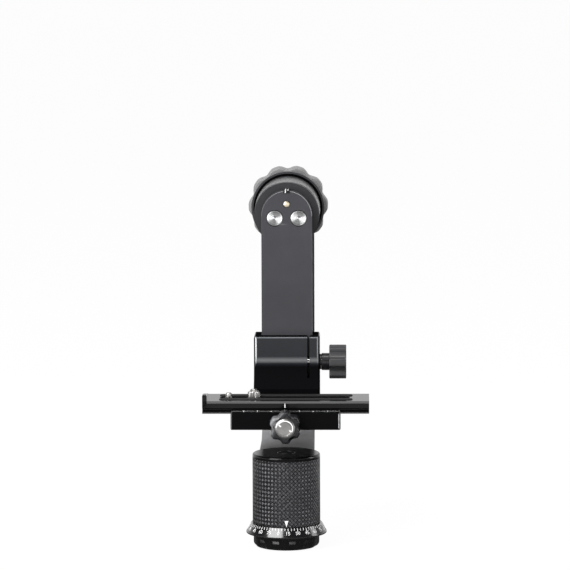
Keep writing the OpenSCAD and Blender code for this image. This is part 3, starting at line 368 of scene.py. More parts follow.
deep_black = (0.003, 0.003, 0.0034)
finishes["frame_grey"] = anodised("satin frame grey", (0.20, 0.20, 0.205), 0.44, 0.2, 0.35,
                                  bands=frame_painted_light)
finishes["lock_ring_black"] = anodised("glossy black anodised", deep_black, 0.09, 0.02, 0.5, 0.4,
                                       grip_painted_highlights)
finishes["jaw_black"] = anodised("deep black anodised", deep_black, 0.26, 0.05, 0.04,
                                 bands=jaw_painted_highlight)
finishes["arm_edge"] = anodised("arm edge with painted highlight", (0.05, 0.05, 0.055), 0.35, 0.1, 0.5,
                                bands=arm_edge_painted_highlight)
print("with the painted highlights:", len(finishes))

# %% [markdown]
# Three more are dull in one place. The cradle block is matt black below its bend and round its
# rims. The frame's head is matt and almost black next to the hub: painted shade in the gap between
# the drum and the head. The cap is matt in the middle, so that it doesn't mirror the frame behind
# it.

# %% Finishes that turn dull
hub_z = 235.6
block = anodised("glossy block black", (0.0065, 0.0075, 0.0105), 0.20, 0.06, 0.5,
                 bands=block_painted_highlights)
x, y, z = block.xyz()
rims = (abs(x).ramp(0.0231, 0.0234) * y.ramp(0.0445, 0.0430)).most(z.ramp(0.1480, 0.1482))
finishes["block_black"] = block.dulled(z.ramp(0.1296, 0.1262).most(rims),
                                       (0.0035, 0.0035, 0.004), 0.6)

head = anodised("frame head black", (0.030, 0.030, 0.034), 0.38, 0.1, 0.4)
x, y, z = head.xyz((0, 0, hub_z * MM))
from_hub = head.vectors("LENGTH", head.vector(x, z, 0.0), out=1)
# Painted shade: the head is matt and almost black within 25.5 mm of the hub's axis.
finishes["head_black"] = head.dulled(from_hub.ramp(0.0258, 0.0255), (0.002, 0.002, 0.002), 0.6)

polish_black = (0.004, 0.004, 0.0045)
cap = anodised("polished cap black", polish_black, 0.14, 0.02, 0.3)
x, y, z = cap.xyz()
finishes["cap_black"] = cap.dulled(abs(x).ramp(0.0225, 0.0165) * z.ramp(0.0675, 0.0681) * 0.85,
                                   polish_black, 0.6)
print("anodised finishes:", len(finishes))

# %% [markdown]
# A turned face is covered in fine rings left by the tool. Light that falls on them spreads across
# the rings, which draws the bright bow-tie seen on bolt heads. The rings are finer than a pixel,
# so a Bump node can't show them. The normal is tilted directly instead: along the radius, and by
# a random amount in each ring. The bow-tie is also painted, because the lamps alone don't place
# it where the picture has it.

# %% Turned metal
def to_world(finish, vector):
    return finish.node("ShaderNodeVectorTransform", {
        "vector_type": "VECTOR", "convert_from": "OBJECT", "convert_to": "WORLD"}, {0: vector})


def combed(finish, direction, line, tilt):
    """The surface's normal, leaned along a direction by a random amount on each line."""
    chance = finish.node("ShaderNodeTexWhiteNoise", {"noise_dimensions": "1D"},
                         {"W": line.math("FLOOR")})
    lean = to_world(finish, finish.scaled(direction, (chance - 0.5) * (2 * tilt)))
    normal = finish.node("ShaderNodeNewGeometry", out=1)
    return finish.vectors("NORMALIZE", finish.vectors("ADD", normal, lean))


def turned(name, colour, roughness, centre, tilt, tie=None):
    """Metal with turned rings round a centre, on a face that looks to the front.

    A tie is the angle, in degrees, of the bright sectors painted across the rings.
    """
    finish = Finish(name, colour, roughness, 1.0)
    flat = finish.vectors("MULTIPLY", finish.place(centre), (1, 0, 1))
    radius = finish.vectors("LENGTH", flat, out=1)
    ring_pitch = 0.07 * MM
    finish.feed("Normal", combed(finish, finish.vectors("NORMALIZE", flat), radius / ring_pitch,
                                 tilt))
    rings = finish.lines(radius, 3.0, 2.0)
    skin = finish.varied(rings.ramp(0.3, 0.7), colour, 0.85, 1.1)
    if tie is not None:
        x, y, z = finish.parts(flat)
        turn = z.math("ARCTAN2", x) * 2 - math.radians(2 * tie)
        sectors = (turn.math("COSINE") + (rings - 0.5) * 0.9).ramp(-0.35, 0.55)
        skin = finish.mix(sectors, shade(colour, 0.42), skin)
    finish.feed("Base Color", skin)
    return finish.feed("Roughness", roughness + (rings - 0.5) * 0.12)


bolt_x, bolt_z, clamp_z = 8.7, 234.1, 93.1
# The bolt heads get a painted bow-tie highlight, at 157 degrees.
for side, name in ((-1, "left_bolt"), (1, "right_bolt")):
    finishes[name] = turned(name.replace("_", " "), (0.90, 0.90, 0.91), 0.20,
                            (side * bolt_x * MM, 0, bolt_z * MM), 0.30, 157)
finishes["cap_face"] = turned("turned cap face", (0.44, 0.43, 0.42), 0.30,
                              (0, 0, clamp_z * MM), 0.16)
print("with the turned ones:", len(finishes))

# %% [markdown]
# The other metals are ground or polished, with faint handling marks. The drum of the hub is black
# over a skin turned along the tilt axis, so it has fine lines round it.

# %% Plain metals and the drum
def smooth_metal(name, colour, roughness):
    finish = Finish(name, colour, roughness, 1.0)
    cloud, hair = finish.noise(60, 4), finish.noise(900, 3)
    finish.paint(finish.varied(cloud.ramp(0.3, 0.7), colour, 0.92, 1.06))
    finish.feed("Roughness", roughness + (cloud - 0.5) * 0.10 + (hair - 0.5) * 0.06)
    return finish.bump(hair, 0.08, 0.00004)


for name, title, colour, roughness in (
        ("brass", "turned brass", (0.95, 0.84, 0.63), 0.34),
        ("bearing_steel", "ground bearing steel", (0.72, 0.72, 0.74), 0.12),
        ("steel", "turned stainless steel", (0.62, 0.61, 0.60), 0.24),
        ("black_screw", "black oxide steel", (0.045, 0.045, 0.05), 0.34),
        ("turned_aluminium", "bare aluminium", (0.42, 0.41, 0.40), 0.36)):
    finishes[name] = smooth_metal(title, colour, roughness)

drum_black = (0.045, 0.045, 0.048)
drum = Finish("turned hub black", drum_black, 0.24, Specular_IOR_Level=0.7)
x, y, z = drum.xyz()
lines, cloud = drum.lines(y, 5.0, 4.0, 0.7), drum.noise(90, 3)
drum.paint(drum.varied(lines.ramp(0.35, 0.65), drum_black, 0.5, 1.6))
drum.feed("Roughness", 0.24 + (lines - 0.5) * 0.22 + (cloud - 0.5) * 0.08)
finishes["hub_black"] = drum.bump(lines, 0.35, 0.00005)
print("with the plain metals:", len(finishes))

# %% [markdown]
# The knobs are moulded in black, with a finer gloss than the anodised frame and a slight ripple.
# The clamp knob is painted paler at its upper left, as painted light. The rubber strips and the
# friction discs are soft and matt: rubber gets a fine pebble, and the friction lining has light and
# dark fibres pressed into it.

# %% Knob plastic, rubber and friction lining
def moulded(name, colour, roughness, bands=None):
    finish = Finish(name, colour, roughness, Specular_IOR_Level=0.45)
    ripple, speck = finish.noise(120, 3), finish.noise(1800, 2)
    finish.paint(finish.varied(speck.ramp(0.35, 0.65), colour, 0.85, 1.2), bands)
    finish.feed("Roughness", roughness + (ripple - 0.5) * 0.12)
    return finish.bump(ripple * 0.6 + speck * 0.4, 0.10, 0.00012)


def pebbled(name, colour, roughness, scale, depth):
    finish = Finish(name, colour, roughness, Specular_IOR_Level=0.3)
    cells = finish.node("ShaderNodeTexVoronoi", inputs={"Vector": finish.place(), "Scale": scale})
    cloud = finish.noise(300, 3)
    finish.paint(finish.varied(cloud.ramp(0.3, 0.7), colour, 0.8, 1.25))
    finish.feed("Roughness", roughness + (cloud - 0.5) * 0.1)
    return finish.bump(cells, 0.5, depth)


# Painted light on the front of the clamp knob, paler towards the upper left.
def knob_painted_light(finish):
    x, y, z = finish.xyz((0, 0, clamp_z * MM))
    upper_left = (z * 0.42 - x * 0.91).ramp(0.0045, 0.0105)
    return [((0.20, 0.20, 0.205), upper_left * (-y).ramp(0.030, 0.036))]


knob_colour = (0.011, 0.011, 0.0125)
finishes["knob_black"] = moulded("moulded knob black", knob_colour, 0.26)
finishes["clamp_knob_black"] = moulded("clamp knob black with painted light", knob_colour, 0.26, knob_painted_light)
finishes["side_knob"] = moulded("moulded side knob black", (0.035, 0.035, 0.037), 0.36)
finishes["knob_grey"] = moulded("moulded knob grey", (0.19, 0.19, 0.19), 0.42)
finishes["rubber"] = pebbled("soft rubber", (0.012, 0.012, 0.012), 0.75, 1900, 0.00008)
finishes["friction"] = pebbled("friction lining", (0.10, 0.075, 0.055), 0.85, 2400, 0.0001)
print("finishes so far:", len(finishes))

# %% [markdown]
# The sleeve is a tube of woven carbon under clear lacquer. The tows, flat ribbons of fibre 2 mm
# wide, cross over and under each other at 45 degrees, so the two directions show as diamonds in a
# square grid. Each direction shines where the lamp lies square to its fibres, so the two sets of
# diamonds differ from left to right; their colours carry this too, as painted light and shade.
# The weave is laid out on the unrolled tube: distance round it and height, both turned by 45
# degrees.

# %% The grid of the weave
carbon = Finish("woven carbon", (0.03, 0.03, 0.032), 0.3, 0.55, Coat_Weight=0.06,
                Coat_Roughness=0.15, Specular_IOR_Level=0.3)
sleeve_radius, cells_round = 24.5, 54
x, y, z = carbon.xyz()
around = turn_of(x, y) * (cells_round / (2 * math.pi))
up = z / (2 * math.pi * sleeve_radius * MM / cells_round)
u, v = around + up + 200, up - around + 200
u_cell, v_cell = u.math("FLOOR"), v.math("FLOOR")
over = (u_cell + v_cell) % 2 > 0.5
u_part, v_part = u - u_cell - 0.5, v - v_cell - 0.5
print("cells round the sleeve:", cells_round)

# %% [markdown]
# The fibres are far finer than a pixel, so the normal is tilted across them by a random amount on
# each, as on turned metal. It also leans along the tow, because a tow rises in the middle of its
# cell and dives at the ends. Dark gaps lie at the cell's edges.

# %% Fibres, crowns and gaps
half = 0.7071  # the sine of 45 degrees
round_it = carbon.scaled(carbon.vectors("NORMALIZE", carbon.vector(-y, x, 0.0)), half)
rise = carbon.vector(0.0, 0.0, half)
tow_up, tow_down = carbon.vectors("ADD", rise, round_it), carbon.vectors(
    "SUBTRACT", rise, round_it)
across = carbon.mix_vectors(over, tow_down, tow_up)
along = carbon.mix_vectors(over, tow_up, tow_down)
fibre = (over * u + (1 - over) * v) * 14
bend = over * v_part + (1 - over) * u_part
side = over * u_part + (1 - over) * v_part
crown = to_world(carbon, carbon.scaled(along, bend * 0.5))
normal = carbon.vectors("ADD", combed(carbon, across, fibre, 0.62), crown)
carbon.feed("Normal", carbon.vectors("NORMALIZE", normal))

gap = abs(side * 2).most(abs(bend * 2)).ramp(0.62, 0.95)
# Painted light and shade: the keen set of tows is painted lit, the dull set painted shaded, darkest
# at the left and paler towards the right.
dull = carbon.mix(x.ramp(-0.016, 0.010), (0.018, 0.018, 0.019, 1), (0.085, 0.085, 0.090, 1))
keen = carbon.mix(x.ramp(-0.016, 0.014), (0.125, 0.125, 0.133, 1), (0.130, 0.130, 0.138, 1))
carbon.paint(carbon.mix(gap, carbon.mix(over, dull, keen), (0.004, 0.004, 0.005, 1)))
finishes["carbon"] = carbon.feed("Roughness", 0.30 + gap * 0.3)
print("nodes in the carbon finish:", len(carbon.tree.nodes))

# %% [markdown]
# The printing on a scale is a thin layer of ink. It is made as real raised shapes later on, so it
# needs only a matt colour with a little unevenness.

# %% White and dark ink
def ink(name, colour):
    finish = Finish(name, colour, 0.5, Specular_IOR_Level=0.3)
    spot = finish.noise(3000, 2)
    finish.paint(finish.varied(spot.ramp(0.3, 0.7), colour, 0.9, 1.0))
    return finish.feed("Roughness", 0.45 + spot * 0.15)


finishes["white_ink"] = ink("white ink", (0.86, 0.86, 0.86))
finishes["dark_ink"] = ink("dark ink", (0.004, 0.004, 0.004))
print("finishes:", ", ".join(sorted(finishes)))

# %% [markdown]
# Every solid gets the finish of its slot in the record. Pieces that are modelled again below hide
# the solid they stand for, and the rest show as they are.

# %% Finishes for the bare solids
slots = {part["node"]: part["material_slot"] for part in frame["record"]["subparts"]}
for name, solid in nodes.items():
    solid.data.materials.clear()
    solid.data.materials.append(finishes[slots[name]].material)
print("solids dressed:", len(nodes))

# %% [markdown]
# A few helpers do most of the modelling. A lathe spins an outline round an axis. A copy of a solid
# is merged and cleaned, so that its true edges can be found. Rounding puts a small bevel on edges,
# because no machined edge is perfectly sharp and the thin highlight along it is what makes metal
# look real.

# %% Modelling helpers
TURNS = {
    "Z": Matrix.Identity(4),
    "Y": Matrix.Rotation(-math.pi / 2, 4, "X"),
    "X": Matrix.Rotation(math.pi / 2, 4, "Y"),
    "FRONT": Matrix.Rotation(math.pi / 2, 4, "X"),
    "SIDE": Matrix(((0, 0, 1, 0), (1, 0, 0, 0), (0, 1, 0, 0), (0, 0, 0, 1))),
}


def set_down(bm, way, centre):
    """Turns an upright mesh to face its way and moves it to its centre, in millimetres."""
    bmesh.ops.transform(bm, matrix=Matrix.Translation(Vector(centre) * MM) @ TURNS[way],
                        verts=bm.verts)
    return bm


def outlined(points):
    """A mesh with a closed outline, which lies open where it would run along the axis."""
    bm = bmesh.new()
    verts = [bm.verts.new(Vector(point) * MM) for point in points]
    for pair in zip(verts, verts[1:] + verts[:1]):
        if pair[0].co.to_2d().length > 0 or pair[1].co.to_2d().length > 0:
            bm.edges.new(pair)
    return bm


def spun(bm, angle, steps, rise=0.0, closed=False):
    """Spins a mesh round the upright axis, with a rise on every step, and closes its ends."""
    bmesh.ops.spin(bm, geom=bm.verts[:] + bm.edges[:], cent=(0, 0, 0), axis=(0, 0, 1),
                   dvec=(0, 0, rise), angle=angle, steps=steps, use_merge=closed,
                   use_duplicate=False)
    if not closed:
        open_ends = [edge for edge in bm.edges if edge.is_boundary]
        bmesh.ops.holes_fill(bm, edges=open_ends, sides=4)
    return bm


def lathe(outline, way="Z", centre=(0, 0, 0), steps=96):
    """Spins an outline of (radius, height) points, in millimetres, and returns the mesh."""
    bm = spun(outlined((r, 0, h) for r, h in outline), 2 * math.pi, steps, closed=True)
    return set_down(bm, way, centre)


def solid_copy(node):
    """A merged copy of a solid's mesh, with only its true edges left."""
    bm = bmesh.new()
    bm.from_mesh(nodes[node].data)
    bmesh.ops.remove_doubles(bm, verts=bm.verts, dist=0.000002)
    bmesh.ops.dissolve_limit(bm, angle_limit=math.radians(0.6), verts=bm.verts, edges=bm.edges)
    return bm


def sharp_edges(bm, angle=32, where=lambda middle: True):
    """The edges where two faces meet at more than an angle, and whose middle a test accepts."""
    return [edge for edge in bm.edges
            if len(edge.link_faces) == 2 and edge.calc_face_angle(0) > math.radians(angle)
            and where((edge.verts[0].co + edge.verts[1].co) / 2 / MM)]


def rounded(bm, edges, width, segments=3, clamp=True):
    """Puts a round bevel of a width in millimetres on the edges."""
    bmesh.ops.bevel(bm, geom=edges, offset=width * MM, offset_type="OFFSET", segments=segments,
                    profile=0.5, affect="EDGES", clamp_overlap=clamp, material=-1)
    return bm


print("ways to turn a piece:", ", ".join(TURNS))

# %% [markdown]
# The last helpers join meshes, make small bars, and turn a finished mesh into a piece that rides
# on its moving body. Edges flatter than the crease angle are shaded smooth, and the Weighted
# Normal modifier keeps large faces even up to their bevels.

# %% Joining meshes and making pieces
def joined(first, second):
    """Adds the second mesh's shape to the first."""
    mesh = bpy.data.meshes.new("joining")
    second.to_mesh(mesh)
    second.free()
    first.from_mesh(mesh)
    bpy.data.meshes.remove(mesh)
    return first


def bar(low, high, edge=0.0):
    """A thin bar between two corners in millimetres, with its edges broken."""
    low, high = Vector(low) * MM, Vector(high) * MM
    bm = bmesh.new()
    bmesh.ops.create_cube(bm, size=1, matrix=Matrix.Translation((low + high) / 2)
                          @ Matrix.Diagonal((high - low).to_4d()))
    if edge:
        rounded(bm, bm.edges[:], edge, 2)
    return bm


def piece(name, bm, finish, body, stands_for=(), crease=38, even=True):
    """Turns a finished mesh into a piece that rides on a body."""
    bmesh.ops.remove_doubles(bm, verts=bm.verts, dist=0.000002)
    bmesh.ops.recalc_face_normals(bm, faces=bm.faces)
    mesh = bpy.data.meshes.new(name)
    bm.to_mesh(mesh)
    bm.free()
    mesh.shade_smooth()
    mesh.set_sharp_from_angle(angle=math.radians(crease))
    mesh.materials.append(finishes[finish].material)
    made = bpy.data.objects.new(name, mesh)
    bpy.context.scene.collection.objects.link(made)
    if even:
        made.modifiers.new("even shading", "WEIGHTED_NORMAL").keep_sharp = True
    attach(made, body)
    if stands_for:
        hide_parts(*stands_for)
    print(name + ":", len(mesh.polygons), "faces")
    return made


def second_finish(made, finish, test):
    """Gives a second finish to the faces that a test accepts."""
    made.data.materials.append(finishes[finish].material)
    for face in made.data.polygons:
        face.material_index = int(test(face))


def shaped(node, bm, finish, crease=38):
    """A piece that stands for one solid, on the solid's own body."""
    bodies = frame["record"]["behaviour"]["bodies"]
    body = next(body for body, members in bodies.items() if node in members)
    return piece(node + "_shaped", bm, finish, body, (node,), crease)


def softened(node, width, finish, where=lambda middle: True):
    """A solid's own shape with rounded edges."""
    bm = solid_copy(node)
    rounded(bm, sharp_edges(bm, where=where), width)
    return shaped(node, bm, finish)


# %% [markdown]
# The two parts of the J-shaped frame and the stop plate keep the solids' own shapes. They need
# only rounded edges: a copy of each solid is merged and its sharp edges are bevelled. The head of
# the frame, round the hub, is black, with painted shade next to the hub.

# %% Frame and stop plate
def on_frame_head(face):
    middle = face.center / MM
    return math.hypot(middle.x, middle.z - hub_z) < 27.3 and middle.y < 104.6


softened("arm_foot", 1.0, "frame_grey")
second_finish(softened("upright_arm", 0.9, "frame_grey"), "head_black", on_frame_head)
softened("arm_stop", 0.6, "black_anodised")

# %% [markdown]
# The swing arm is a flat bar with a round top, sawn from plate and blasted to a satin grey. Its
# edges are broken by under a millimetre, and the two bolt recesses near its top keep a crisp rim.

# %% Swing arm
arm = softened("swing_arm", 0.7, "satin_grey", lambda middle: (
    middle - Vector((0, middle.y, hub_z))).length > 17 or middle.z < 210)
# The bevel round the arm's top gets the paler finish with its painted highlight.
second_finish(arm, "arm_edge", lambda face: (
    0.12 < -face.normal.y < 0.97 and face.center.z > 220 * MM))

# %% [markdown]
# The cradle block slides on the arm. Its outer corners are well rounded, while the channel and
# the slit keep crisp edges. The bevel is therefore put on twice: a wide one for the corners that
# run up the sides, and a narrow one for the top. The bend starts three millimetres higher than in
# the bare solid, as the pale line in the picture shows.

# %% Cradle block
def ends(node):
    """The low and the high corner of a solid's box, in millimetres."""
    return [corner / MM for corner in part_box(node)]


block_low, block_high = ends("cradle_block")
screw_y, screw_z = 38.2, 129.3
bend_low, bend_high, bend_front, lift = 112, 129.63, 32.75, 2.9


def outer_corner(middle):
    at_side = abs(abs(middle.x) - block_high.x) < 0.01
    screw_hole = math.hypot(middle.y - screw_y, middle.z - screw_z) < 4
    return at_side and middle.z > block_low.z + 12 and not screw_hole


bm = solid_copy("cradle_block")
for vert in bm.verts:
    if vert.co.y < bend_front * MM and bend_low * MM < vert.co.z < 130 * MM:
        vert.co.z += lift * MM * (vert.co.z / MM - bend_low) / (bend_high - bend_low)
rounded(bm, sharp_edges(bm, 12, outer_corner), 1.6, 4, clamp=False)
rounded(bm, sharp_edges(bm, 50, lambda middle: middle.z > block_high.z - 0.01), 0.8)
shaped("cradle_block", bm, "block_black")

# %% [markdown]
# The clamp's fixed half and its moving jaw are milled bars in deep black, with broken corners.
# The jaw's are the wider ones, in a glossier black that is also painted paler, a painted
# highlight, so that they catch small bright points.

# %% Clamp halves
jaw_low, jaw_high = ends("moving_jaw")
neck_room = 9.5


def jaw_edge(middle):
    at_end = abs(abs(middle.x) - jaw_high.x) < 0.01
    in_front = middle.y < jaw_low.y + 0.01
    return at_end or in_front and math.hypot(middle.x, middle.z - clamp_z) > neck_room


bm = solid_copy("moving_jaw")
rounded(bm, sharp_edges(bm, 50, jaw_edge), 1.0, clamp=False)
jaw = shaped("moving_jaw", bm, "jaw_black")
# The jaw's slanted bevel faces get the glossier, paler black: the paleness is a painted highlight.
second_finish(jaw, "edge_glint", lambda face: max(abs(part) for part in face.normal) < 0.97)
softened("clamp_base", 0.5, "jaw_black")

# %% [markdown]
# The plate's lip shows only at its front corner in the picture, so here it is a short block
# there: the long lip of the solid is pressed flat and the block is added. The rubber strips keep
# the solid's shape with softer edges.

# %% Plate and rubber strips
plate_face, lip_low, lip_high = 108.72, (-60, -19, 103.9), (-56.8, -11.5, 113.5)
bm = solid_copy("lens_plate")
for vert in bm.verts:
    if vert.co.z > (plate_face + 0.08) * MM:
        vert.co.z = plate_face * MM
bmesh.ops.dissolve_degenerate(bm, dist=0.0001, edges=bm.edges)
rounded(bm, sharp_edges(bm), 0.45)
lip = bar(lip_low, lip_high)
rounded(lip, [e for e in lip.edges if min(v.co.z for v in e.verts) > 110 * MM], 0.9)
shaped("lens_plate", joined(bm, lip), "plate_black")
softened("rubber_strips", 0.3, "rubber")

# %% [markdown]
# Three hand knobs have the same kind of outline: a circle with round valleys between the lobes. A
# circle with many points is drawn, and each point is moved in to the valley's depth at its angle.
# Then the outline is filled, pulled out to the knob's length and given a soft rounded rim.

# %% Lobed knobs
def valley_radius(angle, radius, valley, lobes, turn):
    """The outline's radius at an angle, in degrees, with one valley's middle at a turn."""
    cut = radius * 2 / lobes
    centre = radius - valley + cut
    off = math.radians((angle - turn + 180 / lobes) % (360 / lobes) - 180 / lobes)
    if abs(centre * math.sin(off)) >= cut:
        return radius
    return min(radius, centre * math.cos(off) - math.sqrt(cut ** 2 - (centre * math.sin(off)) ** 2))


def lobed_knob(radius, valley, lobes, turn, front, back, rim, way, centre, blend=3):
    """A knob between two places along its axis, in millimetres."""
    count = 360
    radii = [valley_radius(i, radius, valley, lobes, turn) for i in range(count)]
    soft = [sum(radii[(i + k) % count] for k in range(-blend, blend + 1)) / (2 * blend + 1)
            for i in range(count)]
    bm = bmesh.new()
    bmesh.ops.create_circle(bm, cap_ends=True, radius=1, segments=count)
    for vert in bm.verts:
        angle = math.degrees(math.atan2(-vert.co.x, vert.co.y)) % 360
        scale = soft[round(angle) % count] * MM
        vert.co = Vector((vert.co.x * scale, vert.co.y * scale, front * MM))
    pulled = bmesh.ops.extrude_face_region(bm, geom=bm.faces[:])["geom"]
    moved = [v for v in pulled if isinstance(v, bmesh.types.BMVert)]
    bmesh.ops.translate(bm, vec=(0, 0, (back - front) * MM), verts=moved)
    bmesh.ops.recalc_face_normals(bm, faces=bm.faces)
    rims = [e for e in bm.edges if abs(e.verts[0].co.z - e.verts[1].co.z) < 1e-7]
    return set_down(rounded(bm, rims, rim, 4, clamp=False), way, centre)


# %% [markdown]
# The tilt knob is the large grey one behind the hub. It has ten shallow valleys, and a round cap
# closes its rear end. The cap is spun, with a raised rim round a flat middle.

# %% Tilt knob
low, high = ends("tilt_knob")
bm = lobed_knob(29.6, 2.6, 10, 1, -low.y, -high.y, 1.6, "FRONT", (0, 0, hub_z), 5)
shaped("tilt_knob", bm, "knob_grey")
bm = lathe([(0, high.y - 1.5), (15, high.y - 1.5), (15, high.y + 0.3), (14.6, high.y + 0.7),
            (12.6, high.y + 0.7), (12.2, high.y + 0.3), (0, high.y + 0.3)],
           "Y", (0, 0, hub_z), 128)
shaped("tilt_knob_cap", bm, "knob_black")

# %% [markdown]
# The cradle knob sits at the block's right side. It has six deep valleys, so that fingers can grip
# it well, and a plain round neck that reaches the block. The neck is darker than the lobed head.

# %% Cradle knob
low, high = ends("cradle_knob")
neck_end = high.x - 12.4
bm = lobed_knob(12.9, 2.9, 6, 56, neck_end, high.x, 0.7, "SIDE", (0, screw_y, screw_z))
neck = lathe([(0, low.x), (5.6, low.x), (6.3, low.x + 0.7), (6.3, neck_end + 0.5),
              (0, neck_end + 0.5)], "X", (0, screw_y, screw_z))
made = shaped("cradle_knob", joined(bm, neck), "side_knob")
second_finish(made, "knob_black", lambda face: face.center.x < (neck_end - 0.1) * MM)

# %% [markdown]
# The clamp knob is in front, on the screw that closes the jaw. It is the smallest, with six
# valleys and the roundest rim, and its neck reaches back to the jaw.

# %% Clamp knob
low, high = ends("clamp_knob")
head_back = low.y + 16
bm = lobed_knob(11.4, 2.0, 6, 33, -low.y, -head_back, 1.9, "FRONT", (0, 0, clamp_z), 6)
neck = lathe([(0, head_back - 0.5), (7, head_back - 0.5), (7, high.y), (0, high.y)],
             "Y", (0, 0, clamp_z))
shaped("clamp_knob", joined(bm, neck), "clamp_knob_black")

# %% [markdown]
# The knob carries a bare metal cap with a broad chamfer. An arc with a short bar at each end is
# printed on it, the usual sign for turning a lock. The arc is a small rectangle spun through part
# of a turn, and the two bars are thin bevelled boxes.

# %% Cap and its lock sign
cap_front = -ends("clamp_knob_cap")[0].y
bm = lathe([(0, cap_front - 2.2), (7.1, cap_front - 2.2), (7.1, cap_front - 0.45),
            (6.0, cap_front), (5.0, cap_front), (4.9, cap_front - 0.06), (0, cap_front - 0.06)],
           "FRONT", (0, 0, clamp_z), 128)
shaped("clamp_knob_cap", bm, "cap_face", 12)

sign_radius, sign_width, sign_start, sign_sweep = 5.45, 0.75, -24, 175
sign_low, sign_high = cap_front - 0.1, cap_front + 0.05
section = [(sign_radius + side * sign_width / 2, 0, height)
           for side, height in ((-1, sign_low), (1, sign_low), (1, sign_high), (-1, sign_high))]
sign = spun(outlined(section), math.radians(sign_sweep), 48)
bmesh.ops.rotate(sign, cent=(0, 0, 0), verts=sign.verts,
                 matrix=Matrix.Rotation(math.radians(sign_start), 3, "Z"))
for angle in (sign_start, sign_start + sign_sweep):
    tick = bar((3.1, -0.42, sign_low), (5.7, 0.42, sign_high), 0.03)
    bmesh.ops.rotate(tick, cent=(0, 0, 0), verts=tick.verts,
                     matrix=Matrix.Rotation(math.radians(angle), 3, "Z"))
    sign = joined(sign, tick)
set_down(sign, "FRONT", (0, 0, clamp_z))
piece("lock_sign", sign, "white_ink", "clamp_lock")

# %% [markdown]
# The scale ring is a cone with a straight rim, turned on a lathe in the real head, so here a few
# outline points are spun. The lock ring is spun too, and then pressed in by under a millimetre at
# twelve grips round it.

# %% Scale ring and lock ring
low, high = ends("scale_ring")
bore = 22.05
cone_low, cone_high = (29.05, low.z + 1.0), (25.65, high.z - 1.0)
bm = lathe([(bore, low.z), (28.9, low.z), (29.1, low.z + 0.2), (29.1, low.z + 0.8),
            cone_low, cone_high, (25.4, high.z - 0.9), (bore, high.z - 0.9)], steps=144)
shaped("scale_ring", bm, "scale_black")

lock_high = ends("pan_lock_ring")[1]
lock_radius, lock_bore, lock_foot, foot_round = 23.8, 19.4, 0.15, 3.6
bottom = [(lock_radius - foot_round + foot_round * math.cos(a),
           lock_foot + foot_round + foot_round * math.sin(a))
          for a in [math.radians(-90 + 9 * i) for i in range(11)]]
bm = lathe([(lock_bore, lock_foot)] + bottom + [
    (lock_radius, 5.4), (lock_radius, 7.0), (lock_radius, lock_high.z - 0.4),
    (23.4, lock_high.z), (lock_bore, lock_high.z)], steps=180)
grip_inner, grip_top, grip_half, grip_depth = 20.6, 5.6, 9.5, 0.75
for vert in bm.verts:
    turn = math.degrees(math.atan2(vert.co.x, -vert.co.y)) + grip_turn
    off = abs((turn + grip_pitch / 2) % grip_pitch - grip_pitch / 2)
    radius = vert.co.to_2d().length / MM
    if radius > grip_inner and vert.co.z < grip_top * MM and off < grip_half:
        deep = grip_depth * min(1, (grip_half - off) / 2.4) * min(1, (radius - grip_inner) / 2)
        vert.co.xy *= 1 - deep / lock_radius
shaped("pan_lock_ring", bm, "lock_ring_black")

# %% [markdown]
# The sleeve keeps the solid's shape, but is drawn out by a third of a millimetre and down over the
# cone. The cap above it is a disc with a round edge, a fine groove and a shallow centre, with a
# thin ring of dark steel set in it.

# %% Sleeve and cap
solid_radius, sleeve_bottom = 24.2, 17.8
bm = solid_copy("carbon_sleeve")
for vert in bm.verts:
    if vert.co.to_2d().length > 23 * MM:
        vert.co.xy *= sleeve_radius / solid_radius
    if vert.co.z < 19 * MM:
        vert.co.z = sleeve_bottom * MM
shaped("carbon_sleeve", bm, "carbon")

low, high = ends("base_cap")
top, disc = high.z, high.z - 3.2
bm = lathe([(0, low.z), (5, low.z), (5, disc), (24.3, disc), (24.5, disc + 0.2),
            (24.5, disc + 1.15), (24.3, disc + 1.3), (24.15, disc + 1.45), (24.3, disc + 1.6),
            (24.5, disc + 1.75), (24.45, disc + 2.3), (24.2, disc + 2.75), (23.7, disc + 3.05),
            (23.1, top), (7.0, top), (6.7, top - 0.25), (0, top - 0.25)], steps=144)
shaped("base_cap", bm, "cap_black", 45)
bm = lathe([(6.15, top - 0.3), (6.5, top - 0.3), (6.5, top + 0.1), (6.4, top + 0.2),
            (6.25, top + 0.2), (6.15, top + 0.1)])
piece("cap_ring", bm, "black_screw", "frame", crease=60)

# %% [markdown]
# The tilt hub is a drum with a flange in front of it, turned from bar. The drum is lathed with a
# groove at its rear end, where it meets the upright, and the flange gets a fine chamfer that
# shows as a thin light line round it.

# %% Hub drum and flange
low, high = ends("hub_housing")
bm = lathe([(19, low.y), (23.6, low.y), (24, low.y + 0.4), (24, high.y - 1.8),
            (23.7, high.y - 1.5), (22.5, high.y - 1.5), (22.5, high.y), (19, high.y)],
           "Y", (0, 0, hub_z), 160)
shaped("hub_housing", bm, "hub_black")
low, high = ends("tilt_flange")
bm = lathe([(5.6, low.y), (23.45, low.y), (23.8, low.y + 0.35), (23.8, high.y - 0.3),
            (23.5, high.y), (5.6, high.y)], "Y", (0, 0, hub_z), 160)
shaped("tilt_flange", bm, "flange_black", 25)

# %% [markdown]
# Two steel bolts hold the arm to the hub. Their heads are turned flat, which gives them the bright
# bow-tie, and the bow-tie is also painted as a painted highlight. Each head needs its own centre
# for the rings, so the two get one finish each. The brass pin above them is pressed in, with a
# rounded end.

